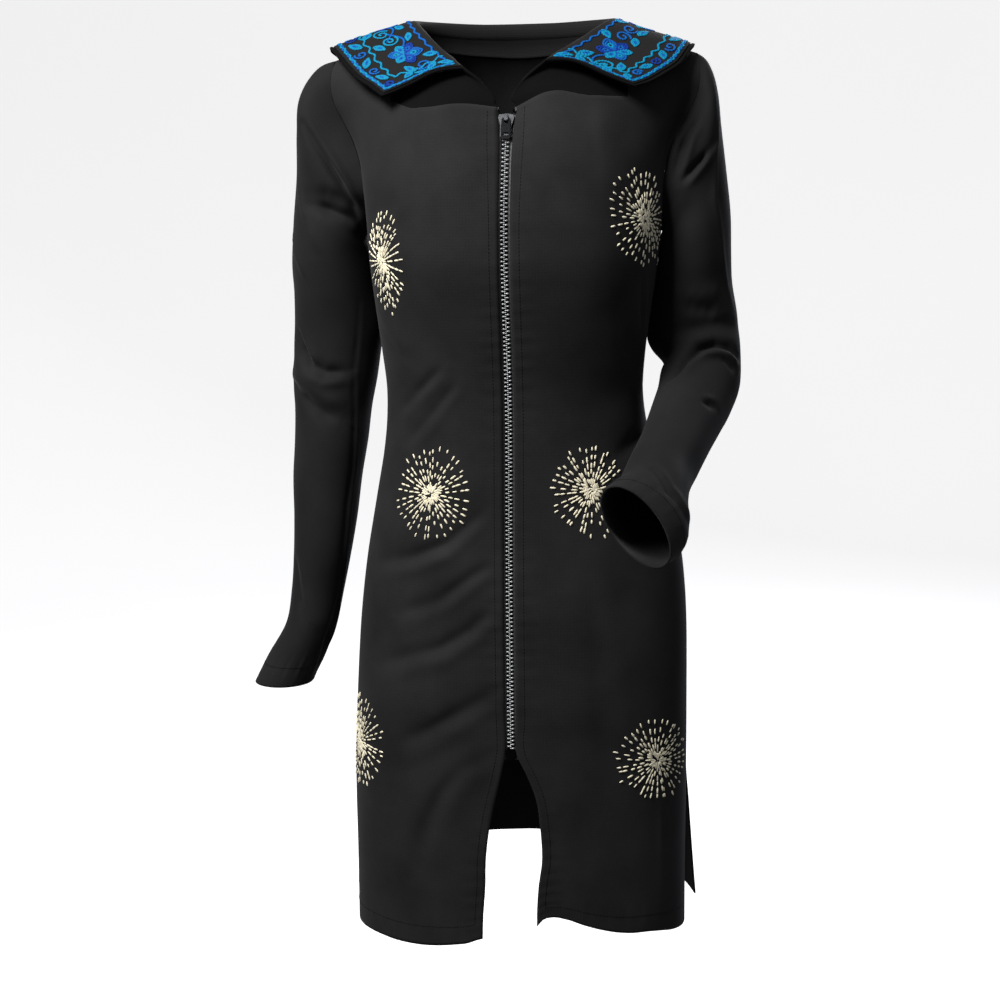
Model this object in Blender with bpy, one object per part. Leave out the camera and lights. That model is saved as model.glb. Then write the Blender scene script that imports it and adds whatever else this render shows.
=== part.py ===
"""A long zip-fronted coat of black double-knit jersey with an embroidered fold-over collar.

The coat keeps the hollow shape that it takes when worn, one sleeve hanging and the other bent
forward at the elbow. Each piece of cloth is a thin wall round that hollow, and the pieces lie a
seam's gap apart. Metres, +Z up, the front towards -Y, the wearer's left towards +X. The origin is
the middle of the neck opening, level with the top of the shoulders.
"""

import math

import bmesh
import bpy
import numpy as np
from mathutils import Matrix

# Walls and gaps
CLOTH = 0.0016
FACING = 0.0012
TAPE = 0.0010
GAP = 0.0003

# Heights
UNDERARM = -0.205
SLIT_TOP = -0.752
VENT_TOP = -0.800
LOWER_ROWS = (
    -0.958, -0.932, -0.903, -0.870, -0.835, VENT_TOP, -0.776, SLIT_TOP, -0.710, -0.670, -0.630,
    -0.590, -0.550, -0.510, -0.475, -0.440, -0.405, -0.370, -0.335, -0.300, -0.268, -0.236, UNDERARM,
)
HEM_FADE = 0.12

# Grid counts
SIDE_COLUMNS = 11
NECK_COLUMNS = 6
SHOULDER_COLUMNS = 5
BACK_NECK_COLUMNS = 5
NECK_CORNER_COLUMN = 2 + NECK_COLUMNS
BACK_COLUMNS = BACK_NECK_COLUMNS + SHOULDER_COLUMNS

# Distances from a front's zip edge to its first two columns
RIM_COLUMN = 0.007
TAPE_COLUMN = 0.015

# The body's outline at a height
BODY_COLUMNS = ("height", "right_half", "left_half", "front", "back", "squareness")
BODY = (
    (-0.980, 0.189, 0.184, 0.112, 0.136, 2.5),
    (-0.900, 0.188, 0.184, 0.113, 0.134, 2.5),
    (-0.800, 0.188, 0.185, 0.114, 0.132, 2.4),
    (-0.700, 0.183, 0.185, 0.114, 0.132, 2.4),
    (-0.620, 0.177, 0.184, 0.113, 0.130, 2.3),
    (-0.550, 0.168, 0.178, 0.110, 0.122, 2.2),
    (-0.480, 0.155, 0.160, 0.104, 0.106, 2.2),
    (-0.420, 0.145, 0.142, 0.099, 0.092, 2.2),
    (-0.370, 0.143, 0.136, 0.099, 0.088, 2.2),
    (-0.320, 0.148, 0.140, 0.106, 0.092, 2.3),
    (-0.270, 0.153, 0.147, 0.116, 0.098, 2.5),
    (-0.225, 0.157, 0.153, 0.121, 0.102, 2.6),
    (-0.205, 0.158, 0.155, 0.120, 0.103, 2.6),
    (-0.180, 0.159, 0.157, 0.117, 0.104, 2.6),
)

# The zip edges below the zip, where the front is slit
SLIT_COLUMNS = ("height", "right_front", "left_front")
SLIT = (
    (-0.980, 0.034, 0.026),
    (-0.940, 0.033, 0.026),
    (-0.905, 0.030, 0.028),
    (-0.875, 0.029, 0.032),
    (-0.840, 0.025, 0.031),
    (-0.805, 0.018, 0.027),
    (-0.776, 0.011, 0.017),
    (-0.752, 0.0062, 0.0062),
    (-0.720, 0.0062, 0.0062),
)
ZIP_EDGE = 0.0062
NECK_EDGE = 0.0105
ZIP_SPREAD_BELOW = 0.038

# Rise of the hem above its nominal row, from the zip edge to the side, on each front and the back
HEM_COLUMNS = ("across", "right_front", "left_front", "back")
HEM = (
    (0.00, -0.0050, 0.0110, 0.030),
    (0.10, -0.0080, 0.0210, 0.029),
    (0.20, -0.0130, 0.0210, 0.028),
    (0.35, -0.0180, 0.0090, 0.025),
    (0.50, -0.0190, 0.0000, 0.018),
    (0.65, -0.0175, -0.0040, 0.011),
    (0.80, -0.0180, -0.0120, 0.005),
    (1.00, -0.0200, -0.0200, 0.001),
)

# Side vents: how far each edge stands off the side seam's line at the hem
VENT_FRONT_BACK = -0.006
VENT_BACK_BACK = 0.020
VENT_BACK_OUT = {"right": 0.008, "left": 0.013}

# Stations round the neck from the zip to the middle of the back. The neck seam, the line where
# the collar rolls over and the collar's outer edge are each a point at a station. Rise is how
# steeply the cloth below climbs to the seam. The stand bows towards the middle, the fall outwards.
COLLAR_COLUMNS = (
    "station", "seam_x", "seam_y", "seam_z", "roll_x", "roll_y", "roll_z", "edge_x", "edge_y",
    "edge_z", "rise", "stand_bow", "fall_bow",
)
RIGHT_COLLAR = (
    (0.0, 0.0105, -0.080, -0.077, 0.0460, -0.074, -0.040, 0.128, -0.080, -0.066, 72.0, 0.012, -0.001),
    (1.0, 0.0480, -0.084, -0.073, 0.0610, -0.057, -0.027, 0.142, -0.068, -0.056, 68.0, 0.008, 0.001),
    (2.0, 0.0840, -0.083, -0.076, 0.0770, -0.038, -0.013, 0.160, -0.053, -0.045, 62.0, 0.002, 0.004),
    (3.0, 0.1100, -0.070, -0.072, 0.0920, -0.020, 0.001, 0.178, -0.034, -0.028, 50.0, 0.000, 0.007),
    (4.0, 0.1200, -0.034, -0.032, 0.1030, -0.002, 0.012, 0.195, -0.006, -0.012, 30.0, 0.000, 0.008),
    (5.0, 0.1170, 0.000, -0.010, 0.1050, 0.020, 0.015, 0.197, 0.028, -0.016, 8.0, 0.000, 0.006),
    (6.0, 0.0950, 0.036, -0.012, 0.0840, 0.044, 0.015, 0.166, 0.074, -0.033, 30.0, 0.000, 0.001),
    (7.0, 0.0520, 0.060, -0.017, 0.0460, 0.059, 0.014, 0.096, 0.104, -0.050, 48.0, 0.000, -0.003),
    (8.0, 0.0000, 0.067, -0.020, 0.0000, 0.065, 0.014, 0.000, 0.115, -0.058, 54.0, 0.000, -0.005),
)
LEFT_COLLAR = (
    (0.0, 0.0105, -0.080, -0.077, 0.0400, -0.074, -0.034, 0.131, -0.080, -0.061, 72.0, 0.020, 0.000),
    (1.0, 0.0460, -0.082, -0.062, 0.0560, -0.057, -0.022, 0.146, -0.068, -0.056, 68.0, 0.010, -0.001),
    (2.0, 0.0840, -0.080, -0.067, 0.0720, -0.038, -0.011, 0.161, -0.053, -0.047, 62.0, 0.002, 0.001),
    (3.0, 0.1120, -0.066, -0.064, 0.0880, -0.020, 0.001, 0.176, -0.034, -0.036, 50.0, 0.000, 0.003),
    (4.0, 0.1210, -0.032, -0.030, 0.0990, -0.002, 0.010, 0.187, -0.006, -0.018, 30.0, 0.000, 0.004),
    (5.0, 0.1170, 0.000, -0.010, 0.1010, 0.020, 0.013, 0.186, 0.028, -0.017, 8.0, 0.000, 0.003),
    (6.0, 0.0950, 0.036, -0.012, 0.0820, 0.044, 0.014, 0.164, 0.074, -0.034, 30.0, 0.000, 0.000),
    (7.0, 0.0520, 0.060, -0.017, 0.0460, 0.059, 0.014, 0.096, 0.104, -0.050, 48.0, 0.000, -0.003),
    (8.0, 0.0000, 0.067, -0.020, 0.0000, 0.065, 0.014, 0.000, 0.115, -0.058, 54.0, 0.000, -0.005),
)
COLLAR = {"right": RIGHT_COLLAR, "left": LEFT_COLLAR}
NECK_CORNER = 3.0
NECK_POINT = 5.0
NECK_BACK = 8.0
ROLL_RADIUS = 0.0050
ROLL_ROWS = 5
RIM_WIDTH = 0.0050
RIM_WALL = CLOTH + GAP + FACING
EDGE_WAVE = {"right": 0.0055, "left": 0.0110}

# The stand's and the fall's rows as shares of the way to the roll or from it, and how much of
# the bow or of the front edge's wave each row takes
LOW_STAND = 0.36
LOW_STAND_BOW = 0.9
HIGH_STAND_BOW = 0.4
HIGH_FALL = 0.36
LOW_FALL = 0.70
LOW_FALL_BOW = 0.9
LOW_FALL_WAVE = 0.4

# The armhole: levels between the underarm and the shoulder, and the share of each level's width
# that is cut away from the front and from the back. The neck seam's corner is at one level.
SHOULDER_POINT = (0.192, 0.002, -0.022)
SHOULDER_RISE = 30.0
SHOULDER_CROWN = 0.004
ARMHOLE_COLUMNS = ("level", "front_cut", "back_cut")
ARMHOLE = (
    (0.00, 0.000, 0.000),
    (0.05, 0.050, 0.060),
    (0.12, 0.095, 0.110),
    (0.22, 0.130, 0.150),
    (0.33, 0.110, 0.165),
    (0.45, 0.050, 0.150),
    (0.57, -0.008, 0.115),
    (0.70, -0.040, 0.070),
    (0.83, -0.030, 0.030),
    (0.93, -0.012, 0.009),
    (1.00, 0.000, 0.000),
)
NECK_CORNER_LEVEL = 6

# The sleeves' caps. Each ring lies between its point under the arm and its point at the outside
# of the shoulder, and keeps a share of the armhole's own shape.
CAP_COLUMNS = (
    "inner_x", "inner_z", "outer_x", "outer_z", "middle_y", "half_depth", "armhole_share",
)
RIGHT_CAP = (
    (0.1580, -0.2050, 0.1920, -0.0220, 0.000, 0.044, 1.00),
    (0.1600, -0.2053, 0.2080, -0.0275, 0.001, 0.046, 0.84),
    (0.1622, -0.2062, 0.2220, -0.0410, 0.002, 0.048, 0.66),
    (0.1640, -0.2080, 0.2320, -0.0590, 0.004, 0.050, 0.48),
    (0.1645, -0.2110, 0.2365, -0.0920, 0.006, 0.051, 0.28),
    (0.1640, -0.2150, 0.2405, -0.1400, 0.009, 0.051, 0.12),
    (0.1625, -0.2200, 0.2450, -0.1870, 0.012, 0.051, 0.03),
)
LEFT_CAP = (
    (0.1550, -0.2050, 0.1920, -0.0220, 0.000, 0.044, 1.00),
    (0.1568, -0.2053, 0.2010, -0.0290, 0.001, 0.046, 0.84),
    (0.1580, -0.2062, 0.2085, -0.0430, 0.002, 0.048, 0.66),
    (0.1585, -0.2080, 0.2135, -0.0620, 0.004, 0.050, 0.48),
    (0.1580, -0.2110, 0.2175, -0.0950, 0.007, 0.052, 0.28),
    (0.1568, -0.2150, 0.2235, -0.1400, 0.011, 0.054, 0.12),
    (0.1550, -0.2200, 0.2285, -0.1870, 0.015, 0.055, 0.03),
)

# The sleeves below the cap. Square is 1 where a ring lies square to the arm and 0 where it is
# level. Turn is the angle of a ring's broad way, from across the arm towards its front.
ARM_COLUMNS = ("x", "y", "z", "half_across", "half_deep", "square", "turn")
HANGING_ARM = (
    (0.2045, 0.016, -0.2300, 0.0440, 0.0510, 0.0, 0.0),
    (0.2030, 0.020, -0.2700, 0.0465, 0.0510, 0.0, 0.0),
    (0.2025, 0.022, -0.3120, 0.0505, 0.0490, 0.0, 0.0),
    (0.2035, 0.021, -0.3350, 0.0485, 0.0480, 0.0, 0.0),
    (0.2060, 0.019, -0.3620, 0.0470, 0.0480, 0.0, 0.0),
    (0.2080, 0.015, -0.3950, 0.0427, 0.0470, 0.0, 0.0),
    (0.2100, 0.009, -0.4300, 0.0407, 0.0460, 0.0, 0.0),
    (0.2140, 0.002, -0.4700, 0.0383, 0.0430, 0.0, 0.0),
    (0.2160, -0.006, -0.5150, 0.0350, 0.0410, 0.0, 0.0),
    (0.2196, -0.014, -0.5550, 0.0322, 0.0390, 0.0, 0.0),
    (0.2253, -0.020, -0.5950, 0.0302, 0.0370, 0.0, 0.0),
    (0.2312, -0.026, -0.6300, 0.0285, 0.0350, 0.0, 0.0),
    (0.2487, -0.031, -0.6680, 0.0315, 0.0340, 0.0, 0.0),
    (0.2625, -0.035, -0.6970, 0.0325, 0.0340, 0.0, 0.0),
)
BENT_ARM = (
    (0.1910, 0.020, -0.2300, 0.0385, 0.0550, 0.0, 0.0),
    (0.1893, 0.025, -0.2600, 0.0415, 0.0540, 0.2, 0.0),
    (0.1893, 0.027, -0.2920, 0.0468, 0.0530, 0.5, 0.0),
    (0.1890, 0.026, -0.3160, 0.0495, 0.0500, 0.8, 0.0),
    (0.1985, 0.015, -0.3400, 0.0425, 0.0480, 1.0, 0.0),
    (0.1970, 0.000, -0.3630, 0.0435, 0.0470, 1.0, 0.0),
    (0.1915, -0.020, -0.3820, 0.0410, 0.0450, 1.0, 0.0),
    (0.1845, -0.045, -0.3960, 0.0385, 0.0430, 1.0, 0.0),
    (0.1765, -0.075, -0.4110, 0.0360, 0.0415, 1.0, 0.0),
    (0.1675, -0.110, -0.4280, 0.0340, 0.0405, 1.0, 0.0),
    (0.1575, -0.145, -0.4445, 0.0335, 0.0405, 1.0, 0.0),
    (0.1500, -0.180, -0.4620, 0.0365, 0.0395, 1.0, -30.0),
    (0.1460, -0.212, -0.4760, 0.0480, 0.0350, 1.0, -46.0),
    (0.1370, -0.243, -0.4800, 0.0465, 0.0260, 1.0, -51.0),
)

# Large soft folds of the fronts, as strokes from one point to another in X and height.
# Depth is inwards, width is the half width of the trough. Folds stay clear of the sewn columns.
FOLD_COLUMNS = ("from_x", "from_z", "to_x", "to_z", "depth", "width")
FOLD_TAPER = 0.8
FOLD_START = 0.15
SEWN_COLUMNS = 2.0
FRONT_FOLDS = (
    (-0.030, -0.505, -0.150, -0.560, 0.0035, 0.018),
    (-0.020, -0.560, -0.150, -0.625, 0.0040, 0.020),
    (-0.020, -0.625, -0.150, -0.690, 0.0035, 0.022),
    (-0.020, -0.700, -0.140, -0.800, 0.0040, 0.024),
    (-0.020, -0.775, -0.110, -0.880, 0.0030, 0.022),
    (-0.140, -0.400, -0.080, -0.345, 0.0030, 0.016),
    (0.135, -0.390, 0.080, -0.340, 0.0030, 0.016),
    (0.150, -0.520, 0.090, -0.640, 0.0030, 0.026),
    (-0.146, -0.150, -0.110, -0.200, 0.0030, 0.014),
    (0.146, -0.140, 0.115, -0.190, 0.0040, 0.014),
)
BACK_FOLDS = (
    (-0.120, -0.365, 0.120, -0.372, 0.0040, 0.016),
    (-0.090, -0.415, 0.100, -0.405, 0.0030, 0.014),
    (-0.060, -0.620, -0.080, -0.850, 0.0030, 0.022),
    (0.075, -0.640, 0.090, -0.870, 0.0030, 0.022),
    (0.120, -0.130, 0.060, -0.220, 0.0030, 0.018),
    (-0.120, -0.130, -0.060, -0.220, 0.0030, 0.018),
)

# Creases of the sleeves, round the arm. At is the ring counted from the armhole, side the angle
# round the sleeve where it is deepest, with 0 next to the body and 90 at the front.
CREASE_COLUMNS = ("at", "side", "depth", "spread")
HANGING_CREASES = ((5.0, 110.0, 0.0050, 65.0), (9.0, 170.0, 0.0030, 70.0), (17.0, 120.0, 0.0030, 80.0))
BENT_CREASES = ((5.0, 100.0, 0.0040, 60.0), (10.0, 60.0, 0.0060, 60.0), (12.0, 80.0, 0.0050, 55.0))

# The zip
CHAIN_HALF = 0.0037
CHAIN_BELOW_CLOTH = 0.0008
CHAIN_THICK = 0.0032
CHAIN_TOP = -0.0985
TAPE_SHOW = 0.0022
TAPE_END = -0.7585
STOP_SIZE = (0.0097, 0.0026, 0.0104)
STOP_Z = -0.7526
TOP_STOP_SIZE = (0.0022, 0.0028, 0.0034)
TOP_STOP_Z = -0.0815
TOP_STOP_FORWARD = 0.0008
SLIDER_Z = -0.0965
SLIDER_HALF_TOP = 0.0082
SLIDER_HALF_FOOT = 0.0057
SLIDER_LONG = 0.0250
SLIDER_PLATE = 0.0012
SLIDER_CLEAR = 0.0004
NOSE_HALF = 0.0025
NOSE_LONG = 0.0060
BRIDGE_UP = 0.0068
BRIDGE_HALF = 0.0047
BRIDGE_WIDE = 0.0037
BRIDGE_HIGH = 0.0033
BRIDGE_BAR = 0.0011
PIN_RADIUS = 0.0008
PIN_INSET = 0.0005
PULL_EYE = 0.0054
PULL_LONG = 0.0220
PULL_HALF = 0.0049
PULL_THICK = 0.0014
PULL_ARM = 0.0023
PULL_WINDOW = (0.0029, 0.0036, 0.0032)

# Colours of the finishes, linear
BLACK_JERSEY = (0.013, 0.013, 0.015)
BLACK_WOVEN = (0.016, 0.014, 0.014)
BLACK_TAPE = (0.010, 0.010, 0.011)
BLACK_NICKEL = (0.070, 0.072, 0.075)


def column(table, names, name):
    """One named column of a table."""
    return np.array([row[names.index(name)] for row in table], float)


def through(stations, values, at):
    """A smooth curve through values at rising stations, read at one station or many."""
    at = np.asarray(at, float)
    slopes = np.gradient(values, stations, axis=0)
    i = np.clip(np.searchsorted(stations, at, side="right") - 1, 0, len(stations) - 2)
    wide = stations[i + 1] - stations[i]
    t = (at - stations[i]) / wide
    if values.ndim > 1:
        t = t[..., None]
        wide = wide[..., None]
    a, b = values[i], values[i + 1]
    rise = (2 * t**3 - 3 * t**2 + 1) * a + (3 * t**2 - 2 * t**3) * b
    turn = (t**3 - 2 * t**2 + t) * slopes[i] + (t**3 - t**2) * slopes[i + 1]
    return rise + turn * wide


def read(table, names, wanted, key, at):
    """Several columns of a table together, read smoothly at a value of its key column."""
    stations = column(table, names, key)
    values = np.stack([column(table, names, name) for name in wanted], axis=1)
    return through(stations, values, at)


def hermite(start, end, leave, arrive, t):
    """A cubic from start to end that leaves and arrives along two given directions."""
    t = np.asarray(t, float)[..., None]
    ends = (2 * t**3 - 3 * t**2 + 1) * start + (3 * t**2 - 2 * t**3) * end
    return ends + (t**3 - 2 * t**2 + t) * leave + (t**3 - t**2) * arrive


def spaced(points, distances):
    """Points of a line at given distances along it."""
    steps = np.linalg.norm(np.diff(points, axis=0), axis=1)
    along = np.concatenate([[0.0], np.cumsum(steps)])
    return np.stack([np.interp(distances, along, points[:, k]) for k in range(3)], axis=1)


def length_of(points):
    """The length of a line of points."""
    return float(np.linalg.norm(np.diff(points, axis=0), axis=1).sum())


def unit(vectors):
    """Vectors brought to length one."""
    long = np.linalg.norm(vectors, axis=-1, keepdims=True)
    return vectors / np.maximum(long, 1e-12)


def half_section(height, side, reach_name, start_x, end_y):
    """The body's outline at a height, from near the centre line to the side."""
    names = (f"{side}_half", reach_name, "squareness")
    half_width, reach, squareness = read(BODY, BODY_COLUMNS, names, "height", height)
    power = 2.0 / squareness
    start = math.asin((start_x / half_width) ** (1.0 / power))
    end = math.acos((abs(end_y) / reach) ** (1.0 / power))
    angle = np.linspace(start, end, 160)
    facing = -1.0 if reach_name == "front" else 1.0
    x = half_width * np.abs(np.sin(angle)) ** power
    y = facing * reach * np.abs(np.cos(angle)) ** power
    return np.stack([x, y, np.full_like(x, height)], axis=1)


def fold_depth(points, folds):
    """How far the folds press each point inwards."""
    depth = np.zeros(points.shape[:-1])
    for from_x, from_z, to_x, to_z, deep, wide in folds:
        start = np.array([from_x, from_z])
        run = np.array([to_x, to_z]) - start
        away = points[..., [0, 2]] - start
        along = np.clip((away @ run) / (run @ run), 0.0, 1.0)
        off = np.linalg.norm(away - along[..., None] * run, axis=-1)
        taper = np.sin(np.pi * np.clip(along * FOLD_TAPER + FOLD_START, 0.0, 1.0))
        depth += deep * taper * np.exp(-((off / wide) ** 2))
    return depth


def mirrored(points):
    """The same points on the wearer's other side."""
    return points * np.array([-1.0, 1.0, 1.0])


def mirrored_folds(folds):
    """The same folds on the wearer's other side."""
    return [(-row[0], row[1], -row[2], *row[3:]) for row in folds]


def vent_share(height):
    """0 at the top of the side vents and above, 1 at the hem."""
    return float(np.clip((VENT_TOP - height) / (VENT_TOP - LOWER_ROWS[0]), 0.0, 1.0))


def front_edge_x(height, side):
    """Distance from the centre line to a front's zip edge below the underarm."""
    if height < SLIT_TOP:
        return float(read(SLIT, SLIT_COLUMNS, (f"{side}_front",), "height", height)[0])
    return ZIP_EDGE


def front_row(height, side):
    """One level row of a front, from the zip edge to the side seam, for the +X side."""
    drift = VENT_FRONT_BACK * vent_share(height)
    line = half_section(height, side, "front", front_edge_x(height, side), drift)
    even = np.linspace(TAPE_COLUMN, length_of(line), SIDE_COLUMNS + 1)
    return spaced(line, np.concatenate([[0.0, RIM_COLUMN], even]))


def back_row(height, side):
    """One level row of the back from its middle to a side seam, for the +X side."""
    open_share = vent_share(height)
    line = half_section(height, side, "back", 0.0, VENT_BACK_BACK * open_share)
    row = spaced(line, np.linspace(0.0, length_of(line), BACK_COLUMNS + 1))
    out = np.linspace(0.0, 1.0, BACK_COLUMNS + 1) ** 4
    row[:, 0] += VENT_BACK_OUT[side] * open_share * out
    return row


def hem_drop(row, height, name):
    """A row moved up or down to follow the hem, less the further it is above it."""
    share = np.clip(1.0 - (height - LOWER_ROWS[0]) / HEM_FADE, 0.0, 1.0) ** 2
    across = np.linspace(0.0, 1.0, len(row))
    drop = read(HEM, HEM_COLUMNS, (name,), "across", across)[:, 0]
    moved = row.copy()
    moved[:, 2] += drop * share
    return moved


def front_neck_stations(side):
    """Stations of the front neck seam's columns, from the zip to the seam's corner."""
    fine = np.linspace(0.0, NECK_CORNER, 400)
    seam = collar_points("seam", fine, side)
    steps = np.linalg.norm(np.diff(seam, axis=0), axis=1)
    along = np.concatenate([[0.0], np.cumsum(steps)])
    even = np.linspace(TAPE_COLUMN, along[-1], NECK_COLUMNS + 1)
    return np.interp(np.concatenate([[0.0, RIM_COLUMN], even]), along, fine)


def side_neck_stations():
    """Stations of the neck seam's rows from its corner up to the shoulder."""
    levels = column(ARMHOLE, ARMHOLE_COLUMNS, "level")[NECK_CORNER_LEVEL + 1 :]
    corner = ARMHOLE[NECK_CORNER_LEVEL][0]
    return NECK_CORNER + (NECK_POINT - NECK_CORNER) * (levels - corner) / (1.0 - corner)


def back_neck_stations():
    """Stations of the back neck seam's columns, from the shoulder to the middle of the back."""
    return np.linspace(NECK_POINT, NECK_BACK, BACK_NECK_COLUMNS + 1)


def collar_points(kind, stations, side):
    """Points of the neck seam, the roll line or the edge at stations, on the +X side."""
    names = tuple(f"{kind}_{axis}" for axis in "xyz")
    return read(COLLAR[side], COLLAR_COLUMNS, names, "station", stations)


def collar_value(name, stations, side):
    """One value of the collar's table at stations."""
    return read(COLLAR[side], COLLAR_COLUMNS, (name,), "station", stations)[..., 0]


def shoulder_seam(side):
    """The shoulder seam from the neck to the armhole, on the +X side."""
    start = collar_points("seam", np.array([NECK_POINT]), side)[0]
    t = np.linspace(0.0, 1.0, SHOULDER_COLUMNS + 1)[:, None]
    line = start + (np.array(SHOULDER_POINT) - start) * t
    line[:, 2] += SHOULDER_CROWN * np.sin(np.pi * t[:, 0])
    return line


def armhole_levels(cut_name):
    """The levels above the underarm and the share cut away at each."""
    levels = column(ARMHOLE, ARMHOLE_COLUMNS, "level")[1:]
    return levels, column(ARMHOLE, ARMHOLE_COLUMNS, cut_name)[1:]


def yoke(row_below, row_under, top, rise, facing, cut_name, levels_of):
    """The part of a panel above the underarm: cubics up to the top edge, cut at the armhole."""
    leave = unit(row_under - row_below)
    angle = np.radians(rise)
    arrive = np.stack([np.zeros_like(angle), -facing * np.cos(angle), np.sin(angle)], axis=1)
    chord = np.linalg.norm(top - row_under, axis=1, keepdims=True)
    last = len(top) - 1
    number = np.arange(last + 1)
    rows = []
    for level, cut in zip(*armhole_levels(cut_name)):
        row = hermite(row_under, top, leave * chord, arrive * chord, levels_of(level))
        at = number * (1.0 - cut * (number / last) ** 2)
        beyond = np.maximum(at - last, 0.0)[:, None] * (row[-1] - row[-2])
        rows.append(through(number, row, np.minimum(at, last)) + beyond)
    return np.stack(rows)


def shoulder_slopes(side):
    """How steeply the cloth climbs to each point of the shoulder seam."""
    start = float(collar_value("rise", NECK_POINT, side))
    return np.linspace(start, SHOULDER_RISE, SHOULDER_COLUMNS + 1)


def front_panel(side):
    """A front's outer face as rows of points from the hem up, for the +X side."""
    rows = [front_row(height, side) for height in LOWER_ROWS]
    stations = front_neck_stations(side)[:-1]
    top = np.concatenate([collar_points("seam", stations, side), shoulder_seam(side)])
    rise = np.concatenate([collar_value("rise", stations, side), shoulder_slopes(side)])
    corner = ARMHOLE[NECK_CORNER_LEVEL][0]
    full = np.arange(len(top)) < NECK_CORNER_COLUMN

    def levels_of(level):
        return np.where(full, min(level / corner, 1.0), level)

    upper = yoke(rows[-2], rows[-1], top, rise, -1.0, "front_cut", levels_of)
    lower = [hem_drop(row, height, f"{side}_front") for row, height in zip(rows, LOWER_ROWS)]
    grid = np.concatenate([np.stack(lower), upper])
    neck_z = top[0, 2]
    share = np.clip((grid[:, 0, 2] - neck_z + ZIP_SPREAD_BELOW) / ZIP_SPREAD_BELOW, 0.0, 1.0)
    edge = np.where(grid[:, 0, 2] > UNDERARM, ZIP_EDGE + (NECK_EDGE - ZIP_EDGE) * share, grid[:, 0, 0])
    grid[:, 0, 0] = edge
    return grid


def back_half(side):
    """One half of the back's outer face from its middle to the side, for the +X side."""
    rows = [back_row(height, side) for height in LOWER_ROWS]
    stations = back_neck_stations()[:0:-1]
    top = np.concatenate([collar_points("seam", stations, side), shoulder_seam(side)])
    rise = np.concatenate([collar_value("rise", stations, side), shoulder_slopes(side)])

    def levels_of(level):
        return np.full(len(top), level)

    upper = yoke(rows[-2], rows[-1], top, rise, 1.0, "back_cut", levels_of)
    lower = [hem_drop(row, height, "back") for row, height in zip(rows, LOWER_ROWS)]
    return np.concatenate([np.stack(lower), upper])


def neck_seam(front, back, side):
    """The neck seam from the zip round to the middle of the back, and its stations."""
    corner_row = len(LOWER_ROWS) - 1 + NECK_CORNER_LEVEL
    along_front = front[corner_row, : NECK_CORNER_COLUMN + 1]
    up_side = front[corner_row + 1 :, NECK_CORNER_COLUMN]
    along_back = back[-1, BACK_NECK_COLUMNS - 1 :: -1]
    stations = (front_neck_stations(side), side_neck_stations(), back_neck_stations()[1:])
    return np.concatenate([along_front, up_side, along_back]), np.concatenate(stations)


def folded(grid, folds, facing, sides):
    """A panel with its folds pressed in below the yoke, fading out towards its sewn sides."""
    rows, columns = grid.shape[:2]
    from_edge = np.full((rows, columns), float(columns))
    over = np.arange(columns)[None, :] + np.zeros((rows, 1))
    if "left" in sides:
        from_edge = np.minimum(from_edge, over)
    if "right" in sides:
        from_edge = np.minimum(from_edge, columns - 1 - over)
    top_row = len(LOWER_ROWS) - 1 + NECK_CORNER_LEVEL
    from_edge = np.minimum(from_edge, np.maximum(top_row - np.arange(rows)[:, None], 0))
    free = np.clip(from_edge / SEWN_COLUMNS, 0.0, 1.0)
    moved = grid.copy()
    moved[..., 1] -= facing * fold_depth(grid, folds) * free
    return moved


def armhole(front, back):
    """The armhole's loop from the underarm up the front to the shoulder and down the back."""
    first = len(LOWER_ROWS) - 1
    up = front[first:, -1]
    down = back[first:, -1][::-1]
    return np.concatenate([up, down[1:-1]])


def sleeve(loop, cap, arm, creases):
    """A sleeve's outer face as rings from the armhole to the cuff, for the +X side."""
    around = np.linspace(0.0, 2 * np.pi, len(loop), endpoint=False)
    outwards = 0.5 - 0.5 * np.cos(around)
    forward = np.sin(around)
    rings = []
    for inner_x, inner_z, outer_x, outer_z, middle_y, half_depth, _ in cap:
        x = inner_x + (outer_x - inner_x) * outwards
        z = inner_z + (outer_z - inner_z) * outwards
        rings.append(np.stack([x, middle_y - half_depth * forward, z], axis=1))
    difference = loop - rings[0]
    rings = [ring + row[-1] * difference for ring, row in zip(rings, cap)]
    centres = np.array([row[:3] for row in arm], float)
    tangents = unit(np.gradient(centres, axis=0))
    for (x, y, z, half_across, half_deep, square, turn), tangent in zip(arm, tangents):
        along = unit(np.array([0.0, 0.0, -1.0]) * (1 - square) + tangent * square)
        across = unit(np.array([1.0, 0.0, 0.0]) - along * along[0])
        deep = np.cross(along, across)
        turn = math.radians(turn)
        broad = half_across * np.cos(np.pi - around - turn)
        narrow = half_deep * np.sin(np.pi - around - turn)
        ring = np.outer(broad * math.cos(turn) - narrow * math.sin(turn), across)
        ring += np.outer(broad * math.sin(turn) + narrow * math.cos(turn), deep)
        rings.append(np.array([x, y, z]) + ring)
    grid = np.stack(rings)
    centre = grid.mean(axis=1, keepdims=True)
    ring_number = np.arange(len(grid))[:, None]
    for at, side, depth, spread in creases:
        turn = (np.degrees(around)[None, :] - side + 180.0) % 360.0 - 180.0
        press = depth * np.exp(-((ring_number - at) ** 2)) * np.exp(-((turn / spread) ** 2))
        grid -= unit(grid - centre) * press[..., None]
    return grid


def touch_point(end, centre, apex, radius):
    """Where a straight line from a point meets the roll's circle, on the apex's side."""
    away = end - centre
    far = np.linalg.norm(away, axis=1, keepdims=True)
    towards = away / far
    aside = unit(apex - towards * (apex * towards).sum(1, keepdims=True))
    cosine = radius / far
    return radius * (cosine * towards + np.sqrt(1.0 - cosine**2) * aside)


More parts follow.
